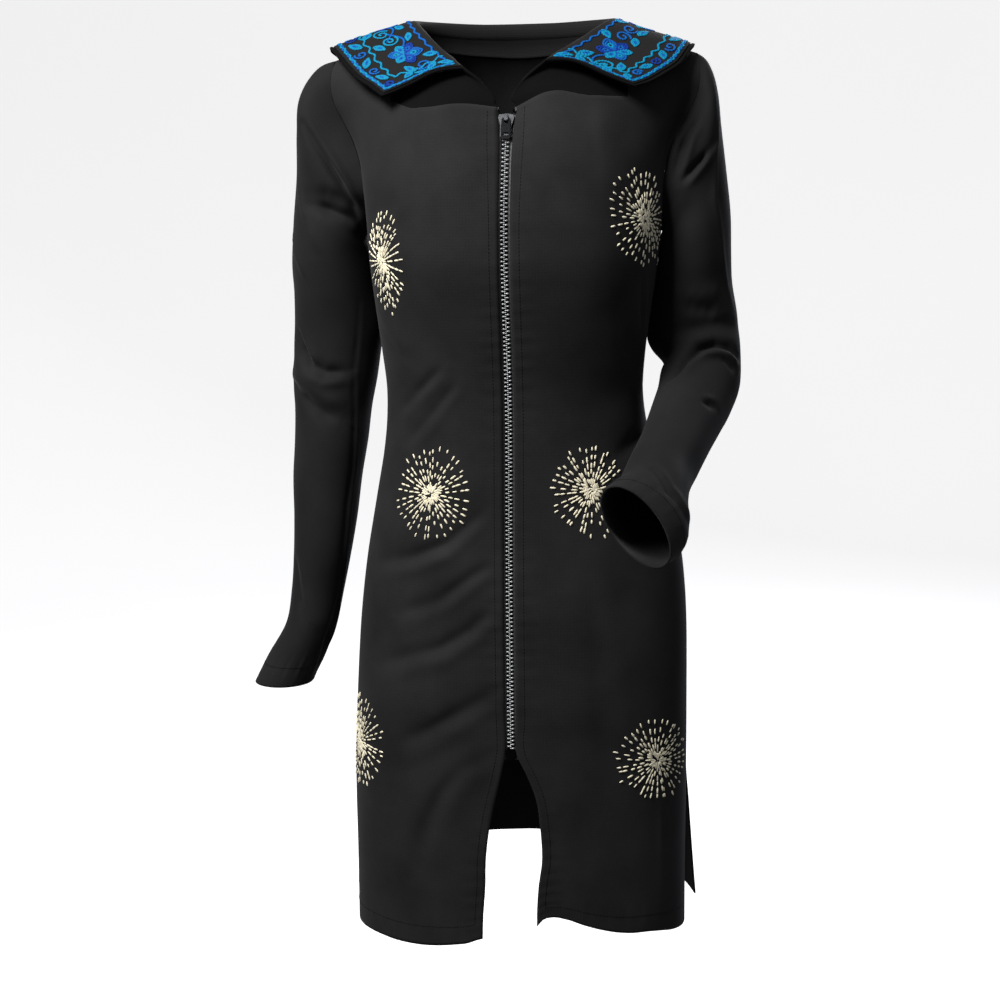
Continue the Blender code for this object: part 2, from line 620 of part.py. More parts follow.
def collar(seam, stations, side):
    """The collar's under face, rows from the neck seam over the roll to the edge, for +X."""
    roll = collar_points("roll", stations, side)
    edge = collar_points("edge", stations, side)
    stand = unit(roll - seam)
    fall = unit(edge - roll)
    apex = unit(stand - fall)
    out = unit(stand + fall)
    centre = roll - apex * ROLL_RADIUS
    stand_bow = out * collar_value("stand_bow", stations, side)[:, None]
    fall_bow = apex * collar_value("fall_bow", stations, side)[:, None]
    rim_inner = edge - fall * RIM_WIDTH
    wave = np.cos(np.clip(stations, 0.0, 1.0) * np.pi / 2)[:, None] ** 2
    lift = apex * EDGE_WAVE[side] * wave
    low_stand = seam + (roll - seam) * LOW_STAND - stand_bow * LOW_STAND_BOW
    high_fall = centre + (rim_inner - centre) * HIGH_FALL + fall_bow + lift
    low_fall = centre + (rim_inner - centre) * LOW_FALL + fall_bow * LOW_FALL_BOW
    low_fall += lift * LOW_FALL_WAVE
    first = touch_point(low_stand, centre, apex, ROLL_RADIUS)
    last = touch_point(high_fall, centre, apex, ROLL_RADIUS)
    start = np.arctan2((first * out).sum(1), (first * apex).sum(1))[:, None]
    end = np.arctan2((last * out).sum(1), (last * apex).sum(1))[:, None]
    arc = []
    for share in np.linspace(0.0, 1.0, ROLL_ROWS):
        angle = start + (end - start) * share
        arc.append(centre + ROLL_RADIUS * (np.cos(angle) * apex + np.sin(angle) * out))
    high_stand = (low_stand + arc[0]) / 2 - stand_bow * HIGH_STAND_BOW
    return np.stack([seam, low_stand, high_stand, *arc, high_fall, low_fall, rim_inner, edge])


class Piece:
    """The outer face of one piece of cloth: a grid of points, some of whose cells may be absent."""

    def __init__(self, grid, facing, closed=False, absent=(None, None)):
        self.grid = grid
        self.facing = facing
        rows, columns = grid.shape[:2]
        first_row, first_column = absent
        self.cells = []
        for i in range(rows - 1):
            for j in range(columns if closed else columns - 1):
                if first_row is None or i < first_row or j >= first_column:
                    k = (j + 1) % columns
                    self.cells.append(((i, j), (i, k), (i + 1, k), (i + 1, j)))
        edges = {}
        for cell in self.cells:
            for a, b in zip(cell, cell[1:] + cell[:1]):
                edges[(a, b)] = cell
        self.border = {edge: cell for edge, cell in edges.items() if edge[::-1] not in edges}

    def key(self, place):
        """A point's position in whole micrometres, shifted so that no round figure lies on a half."""
        return tuple(np.round(self.grid[place] * 1e6 + 0.23).astype(int))

    def edge_key(self, edge):
        """The same key for an edge whichever way it runs."""
        return frozenset((self.key(edge[0]), self.key(edge[1])))


def sewn_normals(pieces):
    """Outward normals of every piece's points, shared where pieces are sewn together."""
    sums = {}
    for piece in pieces.values():
        grid = piece.grid
        for a, b, c, d in piece.cells:
            out = unit(np.cross(grid[c] - grid[a], grid[d] - grid[b])) * piece.facing
            for corner in (a, b, c, d):
                k = piece.key(corner)
                sums[k] = sums.get(k, 0.0) + out
    normals = {}
    for name, piece in pieces.items():
        rows, columns = piece.grid.shape[:2]
        out = np.zeros_like(piece.grid)
        for i in range(rows):
            for j in range(columns):
                out[i, j] = unit(sums.get(piece.key((i, j)), np.array([0.0, 0.0, 1.0])))
        normals[name] = out
    return normals


def sewn_edges(pieces):
    """Keys of the border edges that two pieces share."""
    seen = {}
    for piece in pieces.values():
        for edge in piece.border:
            key = piece.edge_key(edge)
            seen[key] = seen.get(key, 0) + 1
    return {key for key, count in seen.items() if count > 1}


def seam_moves(piece, normals, sewn):
    """How each sewn point moves into its own piece, so that a seam opens by the gap."""
    grid = piece.grid
    directions = {}
    for edge, cell in piece.border.items():
        if piece.edge_key(edge) not in sewn:
            continue
        a, b = edge
        inside = sum(grid[corner] for corner in cell) / 4 - grid[a]
        across = unit(np.cross(grid[b] - grid[a], normals[a] + normals[b]))
        if across @ inside < 0:
            across = -across
        for point in edge:
            directions.setdefault(point, []).append(across)
    moves = np.zeros_like(grid)
    for point, found in directions.items():
        one, other = found[0], found[-1]
        widest = max(1.0 + float(one @ other), 0.5)
        moves[point] = (one + other) / widest * GAP / 2
    return moves


def triangles(quad, flip):
    """The two triangles of a cell, its corners turned round for a face that looks the other way."""
    a, b, c, d = quad
    if flip:
        return [(a, c, b), (a, d, c)]
    return [(a, b, c), (a, c, d)]


def wall_mesh(piece, outer, inner):
    """Points and faces of the closed wall between two grids of points."""
    numbers = {}
    for cell in piece.cells:
        for corner in cell:
            numbers.setdefault(corner, len(numbers))
    count = len(numbers)
    points = [outer[corner] for corner in numbers] + [inner[corner] for corner in numbers]
    flip = piece.facing < 0
    faces = []
    for cell in piece.cells:
        corners = [numbers[corner] for corner in cell]
        faces += triangles(corners, flip)
        faces += triangles([count + corner for corner in corners], not flip)
    for a, b in piece.border:
        a, b = numbers[a], numbers[b]
        faces += triangles([b, a, count + a, count + b], flip)
    return points, faces


def finish(name, colour, roughness, metallic=0.0):
    """A plain finish with its own colour and gloss."""
    material = bpy.data.materials.new(name)
    material.use_nodes = True
    shader = material.node_tree.nodes["Principled BSDF"]
    shader.inputs["Base Color"].default_value = (*colour, 1.0)
    shader.inputs["Roughness"].default_value = roughness
    shader.inputs["Metallic"].default_value = metallic
    return material


def add_piece(name, points, faces, material, smooth=True):
    """A named object made of points and faces."""
    mesh = bpy.data.meshes.new(name)
    mesh.from_pydata([tuple(float(v) for v in point) for point in points], [], faces)
    mesh.update()
    mesh.materials.append(material)
    piece = bpy.data.objects.new(name, mesh)
    bpy.context.collection.objects.link(piece)
    if smooth:
        mesh.shade_smooth()
        mesh.set_sharp_from_angle(angle=math.radians(40))
    return piece


def add_wall(name, piece, normals, near, far, moves, material):
    """A wall of cloth between two depths under a piece's outer face. Depths may vary by point."""
    outer = piece.grid - normals * np.asarray(near)[..., None] + moves
    inner = piece.grid - normals * np.asarray(far)[..., None] + moves
    points, faces = wall_mesh(piece, outer, inner)
    return add_piece(name, points, faces, material)


def add_box(name, centre, size, material):
    """A plain rectangular block."""
    x, y, z = (value / 2 for value in size)
    corners = [(i, j, k) for i in (-x, x) for j in (-y, y) for k in (-z, z)]
    faces = [(0, 1, 3, 2), (4, 6, 7, 5), (0, 4, 5, 1), (2, 3, 7, 6), (0, 2, 6, 4), (1, 5, 7, 3)]
    return add_piece(name, [np.add(centre, corner) for corner in corners], faces, material, False)


def extruded(outline, low, high):
    """Points and faces of a flat outline of (x, z) pairs pushed through in Y, low to high."""
    count = len(outline)
    points = [(x, low, z) for x, z in outline] + [(x, high, z) for x, z in outline]
    faces = [tuple(range(count)), tuple(range(2 * count - 1, count - 1, -1))]
    for i in range(count):
        k = (i + 1) % count
        faces.append((k, i, count + i, count + k))
    return points, faces


def joined(name, shapes, material):
    """One closed body from several overlapping shapes of points and faces."""
    base = None
    for number, (points, faces) in enumerate(shapes):
        piece = add_piece(f"{name}_{number}", points, faces, material, False)
        bm = bmesh.new()
        bm.from_mesh(piece.data)
        bmesh.ops.recalc_face_normals(bm, faces=bm.faces)
        bm.to_mesh(piece.data)
        bm.free()
        if base is None:
            base = piece
            continue
        union = base.modifiers.new("union", "BOOLEAN")
        union.operation = "UNION"
        union.object = piece
        graph = bpy.context.evaluated_depsgraph_get()
        mesh = bpy.data.meshes.new_from_object(base.evaluated_get(graph))
        base.modifiers.clear()
        base.data = mesh
        bpy.data.objects.remove(piece)
    base.name = name
    base.data.name = name
    return base


def zip_rows():
    """The rows of a front that lie along the zip."""
    return slice(LOWER_ROWS.index(SLIT_TOP), len(LOWER_ROWS) + NECK_CORNER_LEVEL)


def centre_line(front):
    """The zip's line on the coat's outer face, from the slit to the neck."""
    line = front[zip_rows(), 0].copy()
    line[:, 0] = 0.0
    return line


def depth_at(line, height):
    """The Y of the zip's line at a height."""
    return float(np.interp(height, line[:, 2], line[:, 1]))


def tape_grid(grid, normals):
    """The zip tape's rows along a front's edge, with one column in the open between the fronts."""
    start = LOWER_ROWS.index(SLIT_TOP)
    below = (SLIT_TOP - TAPE_END) / (SLIT_TOP - LOWER_ROWS[start - 1])
    rows = grid[zip_rows(), :3]
    facing = normals[zip_rows(), :3]
    foot = rows[0] + (grid[start - 1, :3] - rows[0]) * below
    rows = np.concatenate([foot[None], rows])
    facing = np.concatenate([facing[:1], facing])
    show = rows[:, :1].copy()
    show[..., 0] -= np.sign(show[..., 0]) * TAPE_SHOW
    show[0, :, 0] = np.sign(show[0, :, 0]) * (ZIP_EDGE - TAPE_SHOW)
    return np.concatenate([show, rows], axis=1), np.concatenate([facing[:, :1], facing], axis=1)


def add_tape(name, piece, normals, material):
    """One side of the zip's tape, sewn under a front's edge."""
    rows, out = tape_grid(piece.grid, normals)
    near = np.full(rows.shape[:2], CLOTH + GAP)
    add_wall(name, Piece(rows, piece.facing), out, near, near + TAPE, np.zeros_like(rows), material)


def add_chain(name, line, side, material):
    """One half of the zip's chain as a plain strip along the zip's line."""
    low = STOP_Z + STOP_SIZE[2] / 2 + GAP
    heights = [z for z in line[:, 2] if low + 0.004 < z < CHAIN_TOP - 0.004]
    heights = [low] + heights + [CHAIN_TOP]
    near = side * GAP / 2
    far = side * CHAIN_HALF
    depths = [depth_at(line, z) + CHAIN_BELOW_CLOTH for z in heights]
    outer = np.array([[(x, y, z) for x in (near, far)] for y, z in zip(depths, heights)])
    inner = outer + np.array([0.0, CHAIN_THICK, 0.0])
    points, faces = wall_mesh(Piece(outer, side), outer, inner)
    return add_piece(name, points, faces, material, False)


def slider_frame(line):
    """The slider's place and tilt: local Z runs up the zip and local -Y out of the coat."""
    top = SLIDER_Z + SLIDER_LONG / 2
    foot = SLIDER_Z - SLIDER_LONG / 2
    lean = math.atan2(depth_at(line, top) - depth_at(line, foot), top - foot)
    place = (0.0, depth_at(line, SLIDER_Z) + CHAIN_BELOW_CLOTH, SLIDER_Z)
    return Matrix.Translation(place) @ Matrix.Rotation(-lean, 4, "X")


def slider_shapes():
    """The slider's two plates, the nose between them and the bridge over the front plate."""
    half = SLIDER_LONG / 2
    shield = [
        (-SLIDER_HALF_FOOT, -half), (SLIDER_HALF_FOOT, -half), (SLIDER_HALF_FOOT, 0.0),
        (SLIDER_HALF_TOP, half * 0.66), (SLIDER_HALF_TOP * 0.86, half * 0.92), (0.0, half),
        (-SLIDER_HALF_TOP * 0.86, half * 0.92), (-SLIDER_HALF_TOP, half * 0.66),
        (-SLIDER_HALF_FOOT, 0.0),
    ]
    front = -SLIDER_CLEAR
    behind = CHAIN_THICK + SLIDER_CLEAR
    nose = [
        (-NOSE_HALF, half * 0.96 - NOSE_LONG), (0.0, half * 0.96 - NOSE_LONG * 1.3),
        (NOSE_HALF, half * 0.96 - NOSE_LONG), (NOSE_HALF, half * 0.90), (-NOSE_HALF, half * 0.90),
    ]
    plates = [
        extruded(shield, front - SLIDER_PLATE, front),
        extruded(shield, behind, behind + SLIDER_PLATE),
        extruded(nose, front - SLIDER_PLATE / 2, behind + SLIDER_PLATE / 2),
    ]
    face = front - SLIDER_PLATE
    high = BRIDGE_HIGH
    bar = BRIDGE_BAR
    arch = [
        (-BRIDGE_HALF, -SLIDER_PLATE / 2), (-BRIDGE_HALF * 0.72, high * 0.86),
        (-BRIDGE_HALF * 0.5, high), (BRIDGE_HALF * 0.5, high), (BRIDGE_HALF * 0.72, high * 0.86),
        (BRIDGE_HALF, -SLIDER_PLATE / 2), (BRIDGE_HALF - bar * 1.3, -SLIDER_PLATE / 2),
        (BRIDGE_HALF * 0.5, high - bar), (-BRIDGE_HALF * 0.5, high - bar),
        (-BRIDGE_HALF + bar * 1.3, -SLIDER_PLATE / 2),
    ]
    count = len(arch)
    points = [(-BRIDGE_WIDE / 2, face - out, BRIDGE_UP + up) for up, out in arch]
    points += [(BRIDGE_WIDE / 2, face - out, BRIDGE_UP + up) for up, out in arch]
    faces = [tuple(range(count)), tuple(range(2 * count - 1, count - 1, -1))]
    for i in range(count):
        k = (i + 1) % count
        faces.append((k, i, count + i, count + k))
    return plates + [(points, faces)]


def pull_shapes():
    """The pull tab about its pin: an eye with two arms, and a plate with a window near its end."""
    half = PULL_THICK / 2
    window_half, window_from_end, window_high = PULL_WINDOW
    low = -PULL_LONG
    window_low = low + window_from_end
    window_top = window_low + window_high
    arm_in = PULL_ARM
    taper = PULL_HALF * 0.86
    left = [
        (-arm_in, 0.0), (-taper, 0.0), (-PULL_HALF, -PULL_EYE - 0.002), (-PULL_HALF, low + 0.001),
        (-PULL_HALF + 0.001, low), (0.0, low), (0.0, window_low), (-window_half, window_low),
        (-window_half, window_top), (0.0, window_top), (0.0, -PULL_EYE), (-arm_in, -PULL_EYE),
    ]
    right = [(-x, z) for x, z in reversed(left)]
    sides = 12
    pin = [
        (PIN_RADIUS * math.cos(2 * math.pi * i / sides), PIN_RADIUS * math.sin(2 * math.pi * i / sides))
        for i in range(sides)
    ]
    end = taper - PIN_INSET
    points = [(-end, y, z) for y, z in pin] + [(end, y, z) for y, z in pin]
    faces = [tuple(range(sides)), tuple(range(2 * sides - 1, sides - 1, -1))]
    for i in range(sides):
        k = (i + 1) % sides
        faces.append((k, i, sides + i, sides + k))
    return [plate_with_window(left, right, half), (points, faces)]


def plate_with_window(left, right, half):
    """One plate from two mirrored outlines that share the middle line."""
    count = len(left)
    places = []
    indices = []
    for outline in (left, right):
        row = []
        for point in outline:
            if point not in places:
                places.append(point)
            row.append(places.index(point))
        indices.append(row)
    points = [(x, -half, z) for x, z in places] + [(x, half, z) for x, z in places]
    back = len(places)
    faces = []
    edges = {}
    for row in indices:
        faces.append(tuple(row))
        faces.append(tuple(back + i for i in reversed(row)))
        for i in range(count):
            edge = (row[i], row[(i + 1) % count])
            edges[edge] = edges.get(edge, 0) + 1
    for a, b in edges:
        if (b, a) not in edges:
            faces.append((b, a, back + a, back + b))
    return points, faces


def build():
    """Makes every piece of the coat."""
    for thing in list(bpy.data.objects):
        bpy.data.objects.remove(thing)
    jersey = finish("double_knit_jersey", BLACK_JERSEY, 0.85)
    woven = finish("embroidered_facing", BLACK_WOVEN, 0.8)
    tape = finish("zip_tape", BLACK_TAPE, 0.75)
    nickel = finish("black_nickel", BLACK_NICKEL, 0.35, 1.0)

    right = front_panel("right")
    left = front_panel("left")
    right_back = back_half("right")
    left_back = back_half("left")
    right_collar = collar(*neck_seam(right, right_back, "right"), "right")
    left_collar = collar(*neck_seam(left, left_back, "left"), "left")
    right_sleeve = sleeve(armhole(right, right_back), RIGHT_CAP, HANGING_ARM, HANGING_CREASES)
    left_sleeve = sleeve(armhole(left, left_back), LEFT_CAP, BENT_ARM, BENT_CREASES)
    right = mirrored(folded(right, mirrored_folds(FRONT_FOLDS), -1.0, ("left", "right")))
    left = folded(left, FRONT_FOLDS, -1.0, ("left", "right"))
    back = np.concatenate([mirrored(right_back[:, :0:-1]), left_back], axis=1)
    back = folded(back, BACK_FOLDS, 1.0, ("left", "right"))
    band = np.concatenate([left_collar, mirrored(right_collar[:, -2::-1])], axis=1)

    absent = (len(LOWER_ROWS) - 1 + NECK_CORNER_LEVEL, NECK_CORNER_COLUMN)
    pieces = {
        "front_left": Piece(left, 1.0, absent=absent),
        "front_right": Piece(right, -1.0, absent=absent),
        "back": Piece(back, -1.0),
        "sleeve_left": Piece(left_sleeve, -1.0, closed=True),
        "sleeve_right": Piece(mirrored(right_sleeve), 1.0, closed=True),
        "collar": Piece(band, 1.0),
    }
    normals = sewn_normals(pieces)
    sewn = sewn_edges(pieces)
    moves = {name: seam_moves(piece, normals[name], sewn) for name, piece in pieces.items()}
    for name, piece in pieces.items():
        far = np.full(piece.grid.shape[:2], CLOTH)
        if name == "collar":
            far[-1] = RIM_WALL
            far[2:, 0] = RIM_WALL
            far[2:, -1] = RIM_WALL
        add_wall(name, piece, normals[name], np.zeros_like(far), far, moves[name], jersey)

    inside = (slice(0, -1), slice(1, -1))
    near = np.full(band[inside].shape[:2], CLOTH + GAP)
    out = normals["collar"][inside]
    facing = Piece(band[inside], 1.0)
    add_wall("collar_facing", facing, out, near, near + FACING, moves["collar"][inside], woven)

    line = centre_line(left)
    add_tape("zip_tape_left", pieces["front_left"], normals["front_left"], tape)
    add_tape("zip_tape_right", pieces["front_right"], normals["front_right"], tape)
    add_chain("zip_chain_left", line, 1.0, nickel)
    add_chain("zip_chain_right", line, -1.0, nickel)
    stop_y = depth_at(line, STOP_Z) + CLOTH - STOP_SIZE[1] / 2
    add_box("zip_bottom_stop", (0.0, stop_y, STOP_Z), STOP_SIZE, nickel)
    share = (TOP_STOP_Z - line[-1, 2] + ZIP_SPREAD_BELOW) / ZIP_SPREAD_BELOW
    stop_x = ZIP_EDGE + (NECK_EDGE - ZIP_EDGE) * share - TAPE_SHOW / 2 - TOP_STOP_SIZE[0] / 2
    stop_y = depth_at(line, TOP_STOP_Z) + CLOTH - TOP_STOP_SIZE[1] / 2 - TOP_STOP_FORWARD
    add_box("zip_top_stop_left", (stop_x, stop_y, TOP_STOP_Z), TOP_STOP_SIZE, nickel)
    add_box("zip_top_stop_right", (-stop_x, stop_y, TOP_STOP_Z), TOP_STOP_SIZE, nickel)

    place = slider_frame(line)
    slider = joined("zip_slider", slider_shapes(), nickel)
    slider.matrix_world = place
    pull = joined("zip_pull_tab", pull_shapes(), nickel)
    pin_out = SLIDER_CLEAR + SLIDER_PLATE + GAP + PIN_RADIUS
    pull.matrix_world = place @ Matrix.Translation((0.0, -pin_out, BRIDGE_UP))


build()
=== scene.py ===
"""The dressed model of a long zip-fronted coat of black double-knit jersey.

It goes together as the coat does: the studio that it is seen in, the body's three panels, the
sleeves, the collar with its embroidered facing, the zip, and last the stitching. Each piece of
cloth is a thin shell in the shape that it takes when worn. Metres, the front towards -Y.
"""

import math
import random

import bpy
import numpy as np
from mathutils import Matrix, Vector


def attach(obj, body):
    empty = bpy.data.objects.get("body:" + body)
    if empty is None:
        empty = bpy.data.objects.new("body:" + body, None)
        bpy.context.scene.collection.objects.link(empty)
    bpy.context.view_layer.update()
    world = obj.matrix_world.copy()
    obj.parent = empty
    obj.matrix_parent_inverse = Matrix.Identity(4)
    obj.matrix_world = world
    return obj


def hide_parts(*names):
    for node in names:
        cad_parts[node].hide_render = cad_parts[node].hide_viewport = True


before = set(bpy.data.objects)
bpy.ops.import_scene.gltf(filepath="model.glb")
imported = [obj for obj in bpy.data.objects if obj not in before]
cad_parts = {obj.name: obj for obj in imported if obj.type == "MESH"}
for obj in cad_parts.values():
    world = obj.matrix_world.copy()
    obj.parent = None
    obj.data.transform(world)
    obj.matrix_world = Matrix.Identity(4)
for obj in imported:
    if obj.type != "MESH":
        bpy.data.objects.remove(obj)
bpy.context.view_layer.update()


# The studio
# A pale painted floor that curves up into a wall all round, four large soft lamps and a camera
# at chest height, a little to the wearer's left. The floor lies where the wearer would stand.

FLOOR_Z = -1.400
FLOOR_FLAT = 3.4
FLOOR_REACH = 5.0
FLOOR_HIGH = 4.2
FLOOR_SIDES = 64
FLOOR_BEND_ROWS = 10
FLOOR_COLOUR = "#ededee"
FLOOR_SHADE = "#e4e4e6"
FLOOR_MOTTLE = 0.9
PAINT_ROUGHNESS = 0.9
PAINT_SHINE = 0.2
CAMERA_DISTANCE = 1.9
CAMERA_Z = -0.162
CAMERA_TURN = math.radians(6)
CAMERA_AIM = math.radians(0.638)
CAMERA_PITCH = math.radians(10)
CAMERA_ROLL = math.radians(-0.75)
CAMERA_LENS = 63
# Each lamp's name, place, aim, size, power and colour
LAMPS = (
    ("key", (-1.05, -1.30, 1.45), (0.0, 0.0, -0.30), 0.9, 104, "#fffdf8"),
    ("fill", (2.1, -2.2, 0.3), (0.0, 0.0, -0.50), 1.8, 4, "#f3f6ff"),
    ("top", (0.0, -0.3, 2.3), (0.0, 0.0, 0.0), 1.6, 8, "#ffffff"),
    ("behind", (0.9, 2.6, 0.9), (0.0, 0.0, -0.45), 1.6, 52, "#f6f8ff"),
)
WORLD_COLOUR = "#f4f5f7"
WORLD_POWER = 0.17
FLOOR_GLOW = 0.72


def linear(colour):
    """An sRGB hex colour as the linear colour that a shader takes."""
    parts = [int(colour[i : i + 2], 16) / 255 for i in (1, 3, 5)]
    parts = [c / 12.92 if c <= 0.04045 else ((c + 0.055) / 1.055) ** 2.4 for c in parts]
    return (*parts, 1.0)


def add_node(tree, kind, settings=None, inputs=None):
    """Adds a node, sets its properties, and sets or links its inputs, which an output may feed."""
    node = tree.nodes.new(kind)
    for name, value in (settings or {}).items():
        setattr(node, name, value)
    for name, value in (inputs or {}).items():
        socket = node.inputs[name]
        if isinstance(value, bpy.types.NodeSocket):
            tree.links.new(value, socket)
        else:
            socket.default_value = value
    return node


def new_material(name, roughness, metallic=0.0, **shader_values):
    """A material whose shader has its plain values set, and its tree and shader."""
    material = bpy.data.materials.new(name)
    material.use_nodes = True
    tree = material.node_tree
    shader = tree.nodes["Principled BSDF"]
    shader.inputs["Roughness"].default_value = roughness
    shader.inputs["Metallic"].default_value = metallic
    for name, value in shader_values.items():
        shader.inputs[name.replace("_", " ")].default_value = value
    return material, tree, shader


def finished(tree, shader, pattern, dark, light, relief=None, strength=0.0, distance=0.0):
    """Colours a shader from dark to light as a pattern says, and raises a relief if it has one."""
    shade = add_node(
        tree, "ShaderNodeMix", {"data_type": "RGBA"},
        {"Factor": pattern, "A": linear(dark), "B": linear(light)},
    )
    tree.links.new(shade.outputs["Result"], shader.inputs["Base Color"])
    if relief:
        bump = add_node(
            tree, "ShaderNodeBump", {}, {"Strength": strength, "Distance": distance, "Height": relief}
        )
        tree.links.new(bump.outputs["Normal"], shader.inputs["Normal"])


def mesh_piece(name, points, faces, material, smooth=True):
    """A named object made of points and faces."""
    mesh = bpy.data.meshes.new(name)
    mesh.from_pydata([tuple(map(float, point)) for point in points], [], faces)
    mesh.update()
    mesh.materials.append(material)
    piece = bpy.data.objects.new(name, mesh)
    bpy.context.scene.collection.objects.link(piece)
    if smooth:
        mesh.shade_smooth()
    return piece


# Matt emulsion paint: pale, almost even, with the faint mottling of a rolled coat.
paint, tree, shader = new_material(
    "matt_floor_paint", PAINT_ROUGHNESS, Specular_IOR_Level=PAINT_SHINE
)
solid = add_node(tree, "ShaderNodeTexCoord").outputs["Object"]
mottle = add_node(tree, "ShaderNodeTexNoise", {}, {"Vector": solid, "Scale": FLOOR_MOTTLE})
finished(tree, shader, mottle.outputs["Fac"], FLOOR_COLOUR, FLOOR_SHADE)

angles = np.linspace(0, np.pi / 2, FLOOR_BEND_ROWS)
profile = [(0.0, 0.0), (FLOOR_FLAT * 0.5, 0.0)]
curve = FLOOR_REACH - FLOOR_FLAT
profile += [(FLOOR_FLAT + curve * math.sin(a), curve * (1 - math.cos(a))) for a in angles]
profile.append((FLOOR_REACH, FLOOR_HIGH))
points = []
for radius, height in profile:
    for i in range(FLOOR_SIDES):
        turn = 2 * math.pi * i / FLOOR_SIDES
        points.append((radius * math.cos(turn), radius * math.sin(turn), FLOOR_Z + height))
faces = []
for row in range(len(profile) - 1):
    for i in range(FLOOR_SIDES):
        k = (i + 1) % FLOOR_SIDES
        a, b = row * FLOOR_SIDES, (row + 1) * FLOOR_SIDES
        faces.append((a + i, b + i, b + k, a + k) if row else (b + i, b + k, a))
floor = mesh_piece("studio_floor", points, faces, paint)
# The floor shows white without throwing its light back up at the coat
shader.inputs["Emission Color"].default_value = linear(FLOOR_COLOUR)
shader.inputs["Emission Strength"].default_value = FLOOR_GLOW
floor.visible_diffuse = False
floor.visible_glossy = False

for name, spot, aim, size, power, colour in LAMPS:
    lamp = bpy.data.lights.new(name, "AREA")
    lamp.shape = "SQUARE"
    lamp.size = size
    lamp.energy = power
    lamp.color = linear(colour)[:3]
    holder = bpy.data.objects.new(f"lamp_{name}", lamp)
    holder.location = spot
    holder.rotation_euler = (Vector(aim) - Vector(spot)).to_track_quat("-Z", "Y").to_euler()
    holder.visible_camera = False
    bpy.context.scene.collection.objects.link(holder)

world = bpy.data.worlds.new("studio_air")
world.use_nodes = True
background = world.node_tree.nodes["Background"]
background.inputs["Color"].default_value = linear(WORLD_COLOUR)
background.inputs["Strength"].default_value = WORLD_POWER
bpy.context.scene.world = world
bpy.context.scene.view_settings.view_transform = "Standard"

yaw = CAMERA_TURN + CAMERA_AIM
ahead = Vector((-math.sin(yaw) * math.cos(CAMERA_PITCH), math.cos(yaw) * math.cos(CAMERA_PITCH), 0))
ahead.z = -math.sin(CAMERA_PITCH)
level = ahead.cross(Vector((0, 0, 1))).normalized()
upright = level.cross(ahead).normalized()
right = level * math.cos(CAMERA_ROLL) + upright * math.sin(CAMERA_ROLL)
up = upright * math.cos(CAMERA_ROLL) - level * math.sin(CAMERA_ROLL)
lens = bpy.data.cameras.new("camera")
lens.lens = CAMERA_LENS
camera = bpy.data.objects.new("camera", lens)
bpy.context.scene.collection.objects.link(camera)
camera.matrix_world = Matrix((right, up, -ahead)).transposed().to_4x4()
camera.location = (
    CAMERA_DISTANCE * math.sin(CAMERA_TURN), -CAMERA_DISTANCE * math.cos(CAMERA_TURN), CAMERA_Z
)
bpy.context.scene.camera = camera


# The body: two fronts and a back
# Three panels of black double-knit jersey, cut long and fitted at the waist, sewn at the sides
# and the shoulders. The seams are overlocked inside and pressed open, so each one is a shallow
# groove outside. The hem and the edges of the slits are turned in and topstitched.

CLOTH = 0.0016
GAP = 0.0003
UNDERARM = -0.205
SLIT_TOP = -0.752
VENT_TOP = -0.800
LOWER_ROWS = (
    -0.958, -0.932, -0.903, -0.870, -0.835, VENT_TOP, -0.776, SLIT_TOP, -0.710, -0.670, -0.630,
    -0.590, -0.550, -0.510, -0.475, -0.440, -0.405, -0.370, -0.335, -0.300, -0.268, -0.236, UNDERARM,
)
HEM_FADE = 0.12
SIDE_COLUMNS = 11
NECK_COLUMNS = 6
SHOULDER_COLUMNS = 5
BACK_NECK_COLUMNS = 5
SECTION_FINE = 160
NECK_FINE = 400
NECK_CORNER_COLUMN = 2 + NECK_COLUMNS
BACK_COLUMNS = BACK_NECK_COLUMNS + SHOULDER_COLUMNS
RIM_COLUMN = 0.007
TAPE_COLUMN = 0.015

# The body's outline at a height
BODY_COLUMNS = ("height", "right_half", "left_half", "front", "back", "squareness")
BODY = (
    (-0.980, 0.189, 0.184, 0.112, 0.136, 2.5),
    (-0.900, 0.188, 0.184, 0.113, 0.134, 2.5),
    (-0.800, 0.188, 0.185, 0.114, 0.132, 2.4),
    (-0.700, 0.183, 0.185, 0.114, 0.132, 2.4),
    (-0.620, 0.177, 0.184, 0.113, 0.130, 2.3),
    (-0.550, 0.168, 0.178, 0.110, 0.122, 2.2),
    (-0.480, 0.155, 0.160, 0.104, 0.106, 2.2),
    (-0.420, 0.145, 0.142, 0.099, 0.092, 2.2),
    (-0.370, 0.143, 0.136, 0.099, 0.088, 2.2),
    (-0.320, 0.148, 0.140, 0.106, 0.092, 2.3),
    (-0.270, 0.153, 0.147, 0.116, 0.098, 2.5),
    (-0.225, 0.157, 0.153, 0.121, 0.102, 2.6),
    (-0.205, 0.158, 0.155, 0.120, 0.103, 2.6),
    (-0.180, 0.159, 0.157, 0.117, 0.104, 2.6),
)

# The zip edges below the zip, where the front is slit
SLIT_COLUMNS = ("height", "right_front", "left_front")
SLIT = (
    (-0.980, 0.034, 0.026),
    (-0.940, 0.033, 0.026),
    (-0.905, 0.030, 0.028),
    (-0.875, 0.029, 0.032),
    (-0.840, 0.025, 0.031),
    (-0.805, 0.018, 0.027),
    (-0.776, 0.011, 0.017),
    (-0.752, 0.0062, 0.0062),
    (-0.720, 0.0062, 0.0062),
)
ZIP_EDGE = 0.0062
NECK_EDGE = 0.0105
ZIP_SPREAD_BELOW = 0.038

